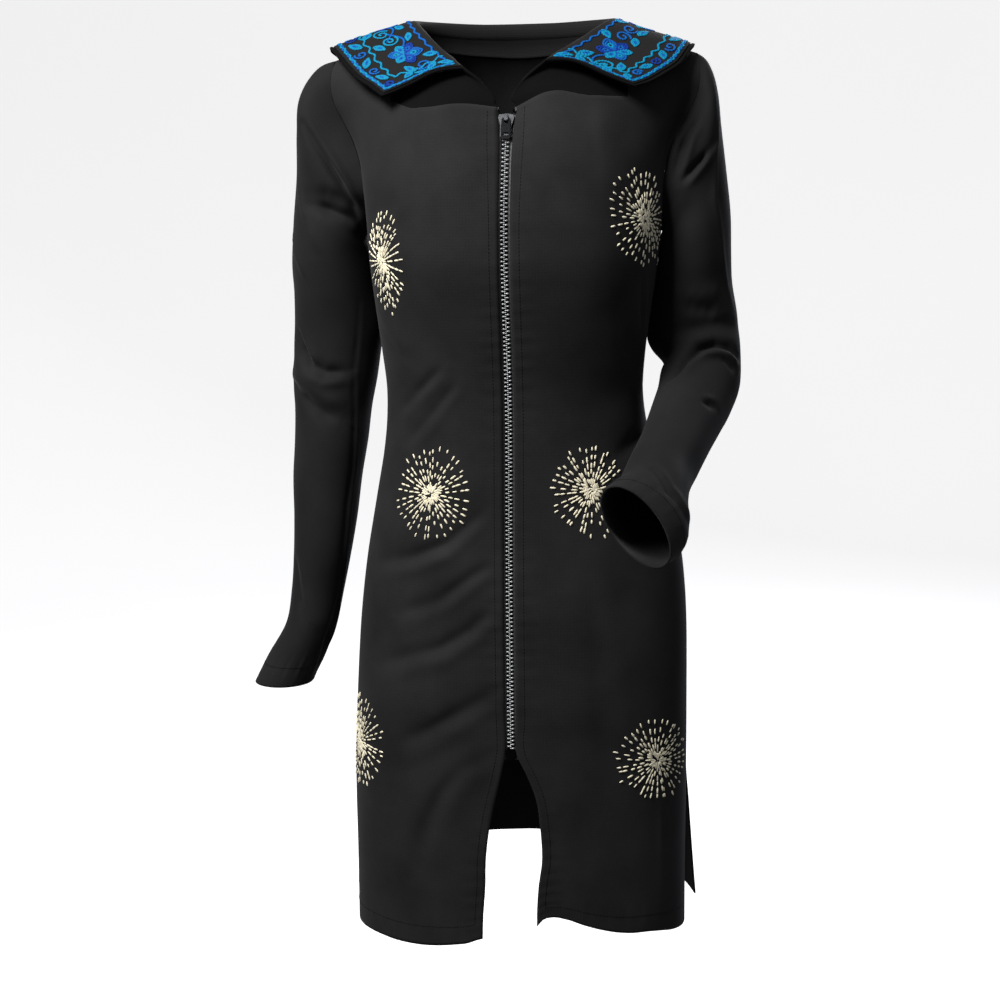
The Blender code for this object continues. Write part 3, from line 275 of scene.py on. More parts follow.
# Rise of the hem above its nominal row, from the zip edge to the side
HEM_COLUMNS = ("across", "right_front", "left_front", "back")
HEM = (
    (0.00, -0.0050, 0.0110, 0.030),
    (0.10, -0.0080, 0.0210, 0.029),
    (0.20, -0.0130, 0.0210, 0.028),
    (0.35, -0.0180, 0.0090, 0.025),
    (0.50, -0.0190, 0.0000, 0.018),
    (0.65, -0.0175, -0.0040, 0.011),
    (0.80, -0.0180, -0.0120, 0.005),
    (1.00, -0.0200, -0.0200, 0.001),
)
VENT_FRONT_BACK = -0.006
VENT_BACK_BACK = 0.020
VENT_POWER = 4
VENT_BACK_OUT = {"right": 0.008, "left": 0.013}

# Stations round the neck from the zip to the middle of the back, with the neck seam, the line
# where the collar rolls over and the collar's edge at each
COLLAR_COLUMNS = (
    "station", "seam_x", "seam_y", "seam_z", "roll_x", "roll_y", "roll_z", "edge_x", "edge_y",
    "edge_z", "rise", "stand_bow", "fall_bow",
)
RIGHT_COLLAR = (
    (0.0, 0.0105, -0.080, -0.077, 0.0460, -0.074, -0.040, 0.128, -0.080, -0.066, 72.0, 0.012, -0.001),
    (1.0, 0.0480, -0.084, -0.073, 0.0610, -0.057, -0.027, 0.142, -0.068, -0.056, 68.0, 0.008, 0.001),
    (2.0, 0.0840, -0.083, -0.076, 0.0770, -0.038, -0.013, 0.160, -0.053, -0.045, 62.0, 0.002, 0.004),
    (3.0, 0.1100, -0.070, -0.072, 0.0920, -0.020, 0.001, 0.178, -0.034, -0.028, 50.0, 0.000, 0.007),
    (4.0, 0.1200, -0.034, -0.032, 0.1030, -0.002, 0.012, 0.195, -0.006, -0.012, 30.0, 0.000, 0.008),
    (5.0, 0.1170, 0.000, -0.010, 0.1050, 0.020, 0.015, 0.197, 0.028, -0.016, 8.0, 0.000, 0.006),
    (6.0, 0.0950, 0.036, -0.012, 0.0840, 0.044, 0.015, 0.166, 0.074, -0.033, 30.0, 0.000, 0.001),
    (7.0, 0.0520, 0.060, -0.017, 0.0460, 0.059, 0.014, 0.096, 0.104, -0.050, 48.0, 0.000, -0.003),
    (8.0, 0.0000, 0.067, -0.020, 0.0000, 0.065, 0.014, 0.000, 0.115, -0.058, 54.0, 0.000, -0.005),
)
LEFT_COLLAR = (
    (0.0, 0.0105, -0.080, -0.077, 0.0400, -0.074, -0.034, 0.131, -0.080, -0.061, 72.0, 0.020, 0.000),
    (1.0, 0.0460, -0.082, -0.062, 0.0560, -0.057, -0.022, 0.146, -0.068, -0.056, 68.0, 0.010, -0.001),
    (2.0, 0.0840, -0.080, -0.067, 0.0720, -0.038, -0.011, 0.161, -0.053, -0.047, 62.0, 0.002, 0.001),
    (3.0, 0.1120, -0.066, -0.064, 0.0880, -0.020, 0.001, 0.176, -0.034, -0.036, 50.0, 0.000, 0.003),
    (4.0, 0.1210, -0.032, -0.030, 0.0990, -0.002, 0.010, 0.187, -0.006, -0.018, 30.0, 0.000, 0.004),
    (5.0, 0.1170, 0.000, -0.010, 0.1010, 0.020, 0.013, 0.186, 0.028, -0.017, 8.0, 0.000, 0.003),
    (6.0, 0.0950, 0.036, -0.012, 0.0820, 0.044, 0.014, 0.164, 0.074, -0.034, 30.0, 0.000, 0.000),
    (7.0, 0.0520, 0.060, -0.017, 0.0460, 0.059, 0.014, 0.096, 0.104, -0.050, 48.0, 0.000, -0.003),
    (8.0, 0.0000, 0.067, -0.020, 0.0000, 0.065, 0.014, 0.000, 0.115, -0.058, 54.0, 0.000, -0.005),
)
COLLAR = {"right": RIGHT_COLLAR, "left": LEFT_COLLAR}
NECK_CORNER = 3.0
NECK_POINT = 5.0
NECK_BACK = 8.0
SHOULDER_POINT = (0.192, 0.002, -0.022)
SHOULDER_RISE = 30.0
SHOULDER_CROWN = 0.004

# The armhole: levels between the underarm and the shoulder, and the share of each level's width
# that is cut away from the front and from the back
ARMHOLE_COLUMNS = ("level", "front_cut", "back_cut")
ARMHOLE = (
    (0.00, 0.000, 0.000),
    (0.05, 0.050, 0.060),
    (0.12, 0.095, 0.110),
    (0.22, 0.130, 0.150),
    (0.33, 0.110, 0.165),
    (0.45, 0.050, 0.150),
    (0.57, -0.008, 0.115),
    (0.70, -0.040, 0.070),
    (0.83, -0.030, 0.030),
    (0.93, -0.012, 0.009),
    (1.00, 0.000, 0.000),
)
NECK_CORNER_LEVEL = 6
NECK_CORNER_ROW = len(LOWER_ROWS) - 1 + NECK_CORNER_LEVEL

# Large soft folds, as strokes from one X and height to another, how deep and how wide
FOLD_TAPER = 0.8
FOLD_START = 0.15
SEWN_COLUMNS = 2.0
FRONT_FOLDS = (
    (-0.030, -0.505, -0.150, -0.560, 0.0035, 0.018),
    (-0.020, -0.560, -0.150, -0.625, 0.0040, 0.020),
    (-0.020, -0.625, -0.150, -0.690, 0.0035, 0.022),
    (-0.020, -0.700, -0.140, -0.800, 0.0040, 0.024),
    (-0.020, -0.775, -0.110, -0.880, 0.0030, 0.022),
    (-0.140, -0.400, -0.080, -0.345, 0.0030, 0.016),
    (0.135, -0.390, 0.080, -0.340, 0.0030, 0.016),
    (0.150, -0.520, 0.090, -0.640, 0.0030, 0.026),
    (-0.146, -0.150, -0.110, -0.200, 0.0030, 0.014),
    (0.146, -0.140, 0.115, -0.190, 0.0040, 0.014),
)
BACK_FOLDS = (
    (-0.120, -0.365, 0.120, -0.372, 0.0040, 0.016),
    (-0.090, -0.415, 0.100, -0.405, 0.0030, 0.014),
    (-0.060, -0.620, -0.080, -0.850, 0.0030, 0.022),
    (0.075, -0.640, 0.090, -0.870, 0.0030, 0.022),
    (0.120, -0.130, 0.060, -0.220, 0.0030, 0.018),
    (-0.120, -0.130, -0.060, -0.220, 0.0030, 0.018),
)

# Creases: how deep, how wide and how high the ridge beside each is, how pointed its bottom is,
# and the points that it runs through. A negative depth is a ridge alone.
FRONT_RIGHT_CREASES = (
    (0.0047, 0.0072, 0.0022, 1.6, (
        (-0.028, -0.103, -0.493), (-0.069, -0.099, -0.528), (-0.103, -0.088, -0.543),
        (-0.149, -0.057, -0.557))),
    (0.0035, 0.0068, 0.0015, 1.8, (
        (-0.021, -0.108, -0.548), (-0.042, -0.107, -0.562), (-0.075, -0.100, -0.588),
        (-0.121, -0.086, -0.605))),
    (0.0042, 0.0081, 0.0019, 1.6, (
        (-0.021, -0.111, -0.597), (-0.042, -0.109, -0.618), (-0.075, -0.105, -0.639),
        (-0.110, -0.094, -0.650), (-0.140, -0.080, -0.662))),
    (0.0039, 0.0093, 0.0015, 1.8, (
        (-0.011, -0.114, -0.681), (-0.049, -0.109, -0.705), (-0.088, -0.103, -0.730),
        (-0.129, -0.090, -0.752))),
    (0.0032, 0.0102, 0.0013, 2.0, (
        (-0.022, -0.113, -0.754), (-0.055, -0.110, -0.772), (-0.078, -0.107, -0.802),
        (-0.096, -0.103, -0.844), (-0.108, -0.100, -0.891))),
    (0.0035, 0.0059, 0.0015, 1.6, (
        (-0.072, -0.092, -0.344), (-0.096, -0.076, -0.367), (-0.121, -0.057, -0.391))),
    (0.0029, 0.0059, 0.0013, 1.6, (
        (-0.056, -0.094, -0.360), (-0.085, -0.083, -0.393), (-0.109, -0.070, -0.421))),
    (0.0025, 0.0085, 0.0010, 2.0, (
        (-0.150, -0.060, -0.300), (-0.125, -0.078, -0.330), (-0.100, -0.085, -0.340))),
)
FRONT_LEFT_CREASES = (
    (0.0025, 0.0036, 0.0011, 1.3, (
        (0.136, -0.070, -0.235), (0.137, -0.053, -0.275), (0.135, -0.038, -0.313))),
    (0.0039, 0.0117, 0.0013, 2.0, (
        (0.115, -0.083, -0.273), (0.122, -0.061, -0.316), (0.132, -0.032, -0.353))),
    (0.0032, 0.0081, 0.0013, 1.8, (
        (0.142, -0.010, -0.412), (0.129, -0.048, -0.423), (0.109, -0.072, -0.439))),
    (-0.0015, 0.0054, 0.0000, 1.8, (
        (0.157, -0.071, -0.790), (0.159, -0.070, -0.860), (0.160, -0.070, -0.930))),
    (0.0019, 0.0099, 0.0008, 2.0, (
        (0.030, -0.113, -0.790), (0.044, -0.112, -0.860), (0.062, -0.111, -0.930))),
    (0.0015, 0.0126, 0.0007, 2.0, (
        (0.080, -0.100, -0.560), (0.095, -0.100, -0.660), (0.100, -0.105, -0.780))),
)
BACK_CREASES = (
    (0.0037, 0.0090, 0.0018, 1.6, ((-0.125, 0.045, -0.352), (-0.050, 0.082, -0.362), (0.010, 0.085, -0.357))),
    (0.0032, 0.0100, 0.0015, 1.7, ((0.115, 0.050, -0.385), (0.060, 0.080, -0.392), (-0.020, 0.087, -0.386))),
    (0.0028, 0.0080, 0.0013, 1.6, (
        (-0.110, 0.060, -0.420), (-0.060, 0.085, -0.432), (-0.010, 0.094, -0.428))),
    (0.0025, 0.0110, 0.0010, 2.0, ((0.120, 0.060, -0.335), (0.070, 0.080, -0.330), (0.020, 0.088, -0.325))),
    (0.0030, 0.0120, 0.0013, 1.8, (
        (-0.140, 0.040, -0.150), (-0.110, 0.080, -0.190), (-0.095, 0.090, -0.250))),
    (0.0028, 0.0110, 0.0011, 1.8, ((0.140, 0.040, -0.160), (0.112, 0.078, -0.205), (0.100, 0.088, -0.260))),
    (0.0022, 0.0140, 0.0007, 2.0, (
        (-0.090, 0.110, -0.560), (-0.075, 0.125, -0.700), (-0.082, 0.130, -0.860))),
    (0.0022, 0.0150, 0.0007, 2.0, ((0.060, 0.118, -0.580), (0.078, 0.125, -0.740), (0.095, 0.128, -0.900))),
)
# Creases that run over an armhole's seam and press the front and the sleeve alike
LEFT_SEAM_CREASES = (
    (0.0067, 0.0072, 0.0026, 1.5, (
        (0.185, -0.022, -0.060), (0.175, -0.026, -0.086), (0.163, -0.036, -0.112),
        (0.157, -0.043, -0.135))),
    (0.0080, 0.0036, 0.0036, 1.3, (
        (0.212, -0.022, -0.112), (0.196, -0.035, -0.133), (0.177, -0.039, -0.154))),
    (0.0068, 0.0043, 0.0029, 1.5, (
        (0.192, -0.027, -0.094), (0.183, -0.029, -0.107), (0.177, -0.033, -0.122),
        (0.170, -0.037, -0.148))),
)
RIGHT_SEAM_CREASES = (
    (0.0081, 0.0039, 0.0039, 1.3, (
        (-0.224, -0.026, -0.087), (-0.204, -0.034, -0.118), (-0.183, -0.039, -0.151),
        (-0.172, -0.034, -0.174), (-0.167, -0.013, -0.201))),
    (0.0088, 0.0081, -0.0039, 1.6, (
        (-0.228, -0.023, -0.173), (-0.201, -0.035, -0.177), (-0.179, -0.034, -0.186),
        (-0.168, -0.020, -0.194))),
)
BODY_STEP = 0.0042
BACK_STEP = 0.0048
# A crease fades at its ends, and its depth and width wander on the way
TAPER_RUN = 0.90
TAPER_START = 0.05
TAPER_POWER = 0.8
WANDERS = ((0.22, 7.0, 9000), (0.10, 17.0, 0))
WIDTH_START = 0.75
WIDTH_GROWTH = 0.35
RIDGE_AWAY = 1.9
RIDGE_WIDE = 1.1
# A seam is a shallow groove with crisp edges, and creases fade out towards it
SEAM_DEPTH = 0.0005
SEAM_WIDE = 0.0030
SEAM_PULL = 0.00004
SEAM_FREE = 0.012
SHARP_EDGE = math.radians(60)
CRISP_REACH = 0.004
FRONT_SHARE = 0.25
ARM_CLEAR = -0.370
ARMHOLE_FREE = 3
# Topstitching puckers the cloth beside it in small uneven waves
ZIP_PUCKER_IN = 0.009
HEM_STITCH_UP = 0.0220
HEM_PUCKER = 0.7
PUCKER = 0.00035
PUCKER_PITCH = 0.0165
PUCKER_REACH = 0.014
PUCKER_DRIFT = (1.3, 37.0)
PUCKER_SECOND = (0.5, 0.61, 0.8)
PUCKER_SWELL = (0.6, 0.4, 21.0, 0.5)
KNIT_DARK = "#0c0c0e"
KNIT_LIGHT = "#1f1f21"
KNIT_BLOOM = "#b9bcc4"
KNIT_ROUGHNESS = 0.86
KNIT_PITCH = 0.0032
KNIT_SLUB = 0.0016
KNIT_PATCH = 0.065
LOOP_SHARE = 0.35
GRAIN_SHARE = 0.30
TONE_FROM = 0.42
TONE_TO = 0.98


def column(table, names, name):
    """One named column of a table."""
    return np.array([row[names.index(name)] for row in table], float)


def through(stations, values, at):
    """A smooth curve through values at rising stations, read at one station or many."""
    at = np.asarray(at, float)
    slopes = np.gradient(values, stations, axis=0)
    i = np.clip(np.searchsorted(stations, at, side="right") - 1, 0, len(stations) - 2)
    wide = stations[i + 1] - stations[i]
    t = (at - stations[i]) / wide
    for _ in range(values.ndim - 1):
        t = t[..., None]
        wide = wide[..., None]
    a, b = values[i], values[i + 1]
    rise = (2 * t**3 - 3 * t**2 + 1) * a + (3 * t**2 - 2 * t**3) * b
    turn = (t**3 - 2 * t**2 + t) * slopes[i] + (t**3 - t**2) * slopes[i + 1]
    return rise + turn * wide


def read(table, names, wanted, key, at):
    """Several columns of a table together, read smoothly at a value of its key column."""
    stations = column(table, names, key)
    values = np.stack([column(table, names, name) for name in wanted], axis=1)
    return through(stations, values, at)


def hermite(start, end, leave, arrive, t):
    """A cubic from start to end that leaves and arrives along two given directions."""
    t = np.asarray(t, float)[..., None]
    ends = (2 * t**3 - 3 * t**2 + 1) * start + (3 * t**2 - 2 * t**3) * end
    return ends + (t**3 - 2 * t**2 + t) * leave + (t**3 - t**2) * arrive


def run_of(points):
    """The distance along a line of points to each of them."""
    steps = np.linalg.norm(np.diff(points, axis=0), axis=1)
    return np.concatenate([[0.0], np.cumsum(steps)])


def spaced(points, distances):
    """Points of a line at given distances along it."""
    along = run_of(points)
    return np.stack([np.interp(distances, along, points[:, k]) for k in range(3)], axis=1)


def length_of(points):
    """The length of a line of points."""
    return float(np.linalg.norm(np.diff(points, axis=0), axis=1).sum())


def unit(vectors):
    """Vectors brought to length one."""
    long = np.linalg.norm(vectors, axis=-1, keepdims=True)
    return vectors / np.maximum(long, 1e-12)


def half_section(height, side, reach_name, start_x, end_y):
    """The body's outline at a height, from near the centre line to the side."""
    names = (f"{side}_half", reach_name, "squareness")
    half_width, reach, squareness = read(BODY, BODY_COLUMNS, names, "height", height)
    power = 2.0 / squareness
    start = math.asin((start_x / half_width) ** (1.0 / power))
    end = math.acos((abs(end_y) / reach) ** (1.0 / power))
    angle = np.linspace(start, end, SECTION_FINE)
    facing = -1.0 if reach_name == "front" else 1.0
    x = half_width * np.abs(np.sin(angle)) ** power
    y = facing * reach * np.abs(np.cos(angle)) ** power
    return np.stack([x, y, np.full_like(x, height)], axis=1)


def fold_depth(points, folds):
    """How far the folds press each point inwards."""
    depth = np.zeros(points.shape[:-1])
    for from_x, from_z, to_x, to_z, deep, wide in folds:
        start = np.array([from_x, from_z])
        run = np.array([to_x, to_z]) - start
        away = points[..., [0, 2]] - start
        along = np.clip((away @ run) / (run @ run), 0.0, 1.0)
        off = np.linalg.norm(away - along[..., None] * run, axis=-1)
        taper = np.sin(np.pi * np.clip(along * FOLD_TAPER + FOLD_START, 0.0, 1.0))
        depth += deep * taper * np.exp(-((off / wide) ** 2))
    return depth


def mirrored(points):
    """The same points on the wearer's other side."""
    return points * np.array([-1.0, 1.0, 1.0])


def mirrored_folds(folds):
    """The same folds on the wearer's other side."""
    return [(-row[0], row[1], -row[2], *row[3:]) for row in folds]


def vent_share(height):
    """0 at the top of the side vents and above, 1 at the hem."""
    return float(np.clip((VENT_TOP - height) / (VENT_TOP - LOWER_ROWS[0]), 0.0, 1.0))


def front_edge_x(height, side):
    """Distance from the centre line to a front's zip edge below the underarm."""
    if height < SLIT_TOP:
        return float(read(SLIT, SLIT_COLUMNS, (f"{side}_front",), "height", height)[0])
    return ZIP_EDGE


def front_row(height, side):
    """One level row of a front, from the zip edge to the side seam, for the +X side."""
    drift = VENT_FRONT_BACK * vent_share(height)
    line = half_section(height, side, "front", front_edge_x(height, side), drift)
    even = np.linspace(TAPE_COLUMN, length_of(line), SIDE_COLUMNS + 1)
    return spaced(line, np.concatenate([[0.0, RIM_COLUMN], even]))


def back_row(height, side):
    """One level row of the back from its middle to a side seam, for the +X side."""
    open_share = vent_share(height)
    line = half_section(height, side, "back", 0.0, VENT_BACK_BACK * open_share)
    row = spaced(line, np.linspace(0.0, length_of(line), BACK_COLUMNS + 1))
    out = np.linspace(0.0, 1.0, BACK_COLUMNS + 1) ** VENT_POWER
    row[:, 0] += VENT_BACK_OUT[side] * open_share * out
    return row


def hem_drop(row, height, name):
    """A row moved up or down to follow the hem, less the further it is above it."""
    share = np.clip(1.0 - (height - LOWER_ROWS[0]) / HEM_FADE, 0.0, 1.0) ** 2
    across = np.linspace(0.0, 1.0, len(row))
    drop = read(HEM, HEM_COLUMNS, (name,), "across", across)[:, 0]
    moved = row.copy()
    moved[:, 2] += drop * share
    return moved


def front_neck_stations(side):
    """Stations of the front neck seam's columns, from the zip to the seam's corner."""
    fine = np.linspace(0.0, NECK_CORNER, NECK_FINE)
    along = run_of(collar_points("seam", fine, side))
    even = np.linspace(TAPE_COLUMN, along[-1], NECK_COLUMNS + 1)
    return np.interp(np.concatenate([[0.0, RIM_COLUMN], even]), along, fine)


def side_neck_stations():
    """Stations of the neck seam's rows from its corner up to the shoulder."""
    levels = column(ARMHOLE, ARMHOLE_COLUMNS, "level")[NECK_CORNER_LEVEL + 1 :]
    corner = ARMHOLE[NECK_CORNER_LEVEL][0]
    return NECK_CORNER + (NECK_POINT - NECK_CORNER) * (levels - corner) / (1.0 - corner)


def back_neck_stations():
    """Stations of the back neck seam's columns, from the shoulder to the middle of the back."""
    return np.linspace(NECK_POINT, NECK_BACK, BACK_NECK_COLUMNS + 1)


def collar_points(kind, stations, side):
    """Points of the neck seam, the roll line or the edge at stations, on the +X side."""
    names = tuple(f"{kind}_{axis}" for axis in "xyz")
    return read(COLLAR[side], COLLAR_COLUMNS, names, "station", stations)


def collar_value(name, stations, side):
    """One value of the collar's table at stations."""
    return read(COLLAR[side], COLLAR_COLUMNS, (name,), "station", stations)[..., 0]


def shoulder_seam(side):
    """The shoulder seam from the neck to the armhole, on the +X side."""
    start = collar_points("seam", np.array([NECK_POINT]), side)[0]
    t = np.linspace(0.0, 1.0, SHOULDER_COLUMNS + 1)[:, None]
    line = start + (np.array(SHOULDER_POINT) - start) * t
    line[:, 2] += SHOULDER_CROWN * np.sin(np.pi * t[:, 0])
    return line


def armhole_levels(cut_name):
    """The levels above the underarm and the share cut away at each."""
    levels = column(ARMHOLE, ARMHOLE_COLUMNS, "level")[1:]
    return levels, column(ARMHOLE, ARMHOLE_COLUMNS, cut_name)[1:]


def yoke(row_below, row_under, top, rise, facing, cut_name, levels_of):
    """The part of a panel above the underarm: cubics up to the top edge, cut at the armhole."""
    leave = unit(row_under - row_below)
    angle = np.radians(rise)
    arrive = np.stack([np.zeros_like(angle), -facing * np.cos(angle), np.sin(angle)], axis=1)
    chord = np.linalg.norm(top - row_under, axis=1, keepdims=True)
    last = len(top) - 1
    number = np.arange(last + 1)
    rows = []
    for level, cut in zip(*armhole_levels(cut_name)):
        row = hermite(row_under, top, leave * chord, arrive * chord, levels_of(level))
        at = number * (1.0 - cut * (number / last) ** 2)
        beyond = np.maximum(at - last, 0.0)[:, None] * (row[-1] - row[-2])
        rows.append(through(number, row, np.minimum(at, last)) + beyond)
    return np.stack(rows)


def shoulder_slopes(side):
    """How steeply the cloth climbs to each point of the shoulder seam."""
    start = float(collar_value("rise", NECK_POINT, side))
    return np.linspace(start, SHOULDER_RISE, SHOULDER_COLUMNS + 1)


def front_panel(side):
    """A front's outer face as rows of points from the hem up, for the +X side."""
    rows = [front_row(height, side) for height in LOWER_ROWS]
    stations = front_neck_stations(side)[:-1]
    top = np.concatenate([collar_points("seam", stations, side), shoulder_seam(side)])
    rise = np.concatenate([collar_value("rise", stations, side), shoulder_slopes(side)])
    corner = ARMHOLE[NECK_CORNER_LEVEL][0]
    full = np.arange(len(top)) < NECK_CORNER_COLUMN

    def levels_of(level):
        return np.where(full, min(level / corner, 1.0), level)

    upper = yoke(rows[-2], rows[-1], top, rise, -1.0, "front_cut", levels_of)
    lower = [hem_drop(row, height, f"{side}_front") for row, height in zip(rows, LOWER_ROWS)]
    grid = np.concatenate([np.stack(lower), upper])
    neck_z = top[0, 2]
    share = np.clip((grid[:, 0, 2] - neck_z + ZIP_SPREAD_BELOW) / ZIP_SPREAD_BELOW, 0.0, 1.0)
    edge = np.where(grid[:, 0, 2] > UNDERARM, ZIP_EDGE + (NECK_EDGE - ZIP_EDGE) * share, grid[:, 0, 0])
    grid[:, 0, 0] = edge
    return grid


def back_half(side):
    """One half of the back's outer face from its middle to the side, for the +X side."""
    rows = [back_row(height, side) for height in LOWER_ROWS]
    stations = back_neck_stations()[:0:-1]
    top = np.concatenate([collar_points("seam", stations, side), shoulder_seam(side)])
    rise = np.concatenate([collar_value("rise", stations, side), shoulder_slopes(side)])

    def levels_of(level):
        return np.full(len(top), level)

    upper = yoke(rows[-2], rows[-1], top, rise, 1.0, "back_cut", levels_of)
    lower = [hem_drop(row, height, "back") for row, height in zip(rows, LOWER_ROWS)]
    return np.concatenate([np.stack(lower), upper])


def folded(grid, folds, facing):
    """A panel with its folds pressed in below the yoke, fading out towards its sewn sides."""
    rows, columns = grid.shape[:2]
    over = np.arange(columns)[None, :] + np.zeros((rows, 1))
    under = np.maximum(NECK_CORNER_ROW - np.arange(rows)[:, None], 0)
    from_edge = np.minimum(np.minimum(over, columns - 1 - over), under)
    free = np.clip(from_edge / SEWN_COLUMNS, 0.0, 1.0)
    moved = grid.copy()
    moved[..., 1] -= facing * fold_depth(grid, folds) * free
    return moved


def between(lengths, step):
    """Stations along the cloth at given distances apart, and finer ones that include them."""
    at = np.concatenate([[0.0], np.cumsum(lengths)])
    fine = []
    for a, b in zip(at, at[1:]):
        fine.append(np.linspace(a, b, math.ceil((b - a) / step) + 1)[:-1])
    return at, np.concatenate([*fine, at[-1:]])


class Cloth:
    """The outer face of one piece of cloth, drawn finely through its coarse grid of points. Above
    the absent row, the columns before the absent column are no part of it."""

    def __init__(self, grid, facing, step, closed=False, absent=None):
        self.facing = facing
        self.closed = closed
        if closed:
            grid = np.concatenate([grid, grid[:, :1]], axis=1)
        low = grid if absent is None else grid[: absent[0] + 1]
        row_steps = np.linalg.norm(np.diff(grid, axis=0), axis=2)
        column_steps = np.linalg.norm(np.diff(low, axis=1), axis=2)
        side = 0 if absent is None else absent[1]
        rows_at, self.v = between(row_steps[:, side:].mean(axis=1), step)
        columns_at, self.u = between(column_steps.mean(axis=0), step)
        self.columns_at = columns_at
        self.rows_at = rows_at
        if closed:
            around = grid[:, :-1]
            grid = np.concatenate([around[:, -2:], around, around[:, :3]], axis=1)
            total = columns_at[-1]
            before = columns_at[-3:-1] - total
            columns_at = np.concatenate([before, columns_at, total + columns_at[1:3]])
        if absent is None:
            self.grid = self.drawn(grid, rows_at, columns_at, self.v)
            self.hole = None
        else:
            first_row, first_column = absent
            full = self.drawn(grid[: first_row + 1, :first_column], rows_at[: first_row + 1],
                              None, self.v[self.v <= rows_at[first_row] + 1e-9])
            tall = self.drawn(grid[:, first_column:], rows_at, None, self.v)
            below = len(full)
            joined = np.concatenate([full, tall[:below]], axis=1)
            bottom = through(columns_at, joined.swapaxes(0, 1), self.u).swapaxes(0, 1)
            right = self.u >= columns_at[first_column] - 1e-9
            upper = through(columns_at[first_column:], tall[below:].swapaxes(0, 1), self.u[right])
            top = np.repeat(bottom[-1:], len(self.v) - below, axis=0)
            top[:, right] = upper.swapaxes(0, 1)
            self.grid = np.concatenate([bottom, top])
            self.hole = (below - 1, int(np.argmax(right)))
        if closed:
            self.grid = self.grid[:, :-1]
        self.number_cells()

    def drawn(self, grid, rows_at, columns_at, v):
        """The grid read smoothly along its rows' direction, then along its columns'."""
        grid = through(rows_at, grid, v)
        if columns_at is None:
            return grid
        return through(columns_at, grid.swapaxes(0, 1), self.u).swapaxes(0, 1)

    def number_cells(self):
        """The numbers of each cell's four corners, and each corner's place on the flat cut."""
        rows, columns = self.grid.shape[:2]
        numbers = np.arange(rows * columns).reshape(rows, columns)
        u, v = np.meshgrid(self.u, self.v)
        flat = np.stack([u, v], axis=-1)
        if self.closed:
            numbers = np.concatenate([numbers, numbers[:, :1]], axis=1)
        mask = np.ones((numbers.shape[0] - 1, numbers.shape[1] - 1), bool)
        if self.hole:
            mask[self.hole[0] :, : self.hole[1]] = False
        corners = ((slice(0, -1), slice(0, -1)), (slice(0, -1), slice(1, None)),
                   (slice(1, None), slice(1, None)), (slice(1, None), slice(0, -1)))
        self.cells = np.stack([numbers[c][mask] for c in corners], axis=1)
        self.cell_flat = np.stack([flat[c][mask] for c in corners], axis=1)
        self.shown = np.zeros(rows * columns, bool)
        self.shown[self.cells] = True

    def normals(self):
        """Outward normals of the grid's points."""
        points = self.grid.reshape(-1, 3)
        a, b, c, d = (points[self.cells[:, k]] for k in range(4))
        out = np.cross(c - a, d - b) * self.facing
        sums = np.zeros_like(points)
        for k in range(4):
            np.add.at(sums, self.cells[:, k], out)
        sums[~self.shown] = (0.0, 0.0, 1.0)
        return unit(sums).reshape(self.grid.shape)

    def border(self):
        """The edges that only one cell has."""
        edges = np.concatenate([self.cells[:, [k, (k + 1) % 4]] for k in range(4)])
        count = self.grid.shape[0] * self.grid.shape[1]
        there = edges[:, 0] * count + edges[:, 1]
        back = edges[:, 1] * count + edges[:, 0]
        return edges[~np.isin(there, back)]

    def away_from(self, line):
        """Each grid point's distance from a line of points."""
        return nearest(self.grid.reshape(-1, 3), line).reshape(self.grid.shape[:2])

    def press(self, strokes, sewn):
        """Presses creases into the cloth, or raises ridges, fading out towards its sewn lines."""
        out = self.normals()
        push = np.zeros(self.grid.shape[:2])
        for stroke in strokes:
            push += stroke_push(self.grid, out, *stroke)
        for line in sewn:
            push *= np.clip(self.away_from(line) / SEAM_FREE, 0.0, 1.0)
        self.grid = self.grid - out * push[..., None]

    def press_back(self, strokes):
        """Presses creases straight back, so that two cloths sewn together move alike."""
        out = np.zeros_like(self.grid) + np.array([0.0, -1.0, 0.0])
        front = np.clip(-self.normals()[..., 1:2] / FRONT_SHARE, 0.0, 1.0)
        for stroke in strokes:
            push = stroke_push(self.grid, out, *stroke)
            self.grid = self.grid - out * front * push[..., None]

    def tuck(self, lines):
        """Draws the cloth in along sewn lines of the grid, so that each seam is a soft groove."""
        out = self.normals()
        push = np.zeros(self.grid.shape[:2])
        for line in lines:
            groove = np.exp(-((self.away_from(line) / SEAM_WIDE) ** 2))
            push = np.maximum(push, SEAM_DEPTH * groove)
        self.grid = self.grid - out * push[..., None]

    def pucker(self, away, along, height=PUCKER):
        """Small uneven waves beside a topstitched edge, away from it and along it in metres."""
        turn = along * 2 * np.pi / PUCKER_PITCH
        sway, often = PUCKER_DRIFT
        wave = np.sin(turn + sway * np.sin(along * often))
        high, pitch, shift = PUCKER_SECOND
        wave += high * np.sin(along * 2 * np.pi / (PUCKER_PITCH * pitch) + shift)
        base, high, often, shift = PUCKER_SWELL
        swell = base + high * np.sin(along * often + shift)
        push = height * wave * swell * np.exp(-((away / PUCKER_REACH) ** 2))
        self.grid = self.grid + self.normals() * push[..., None]

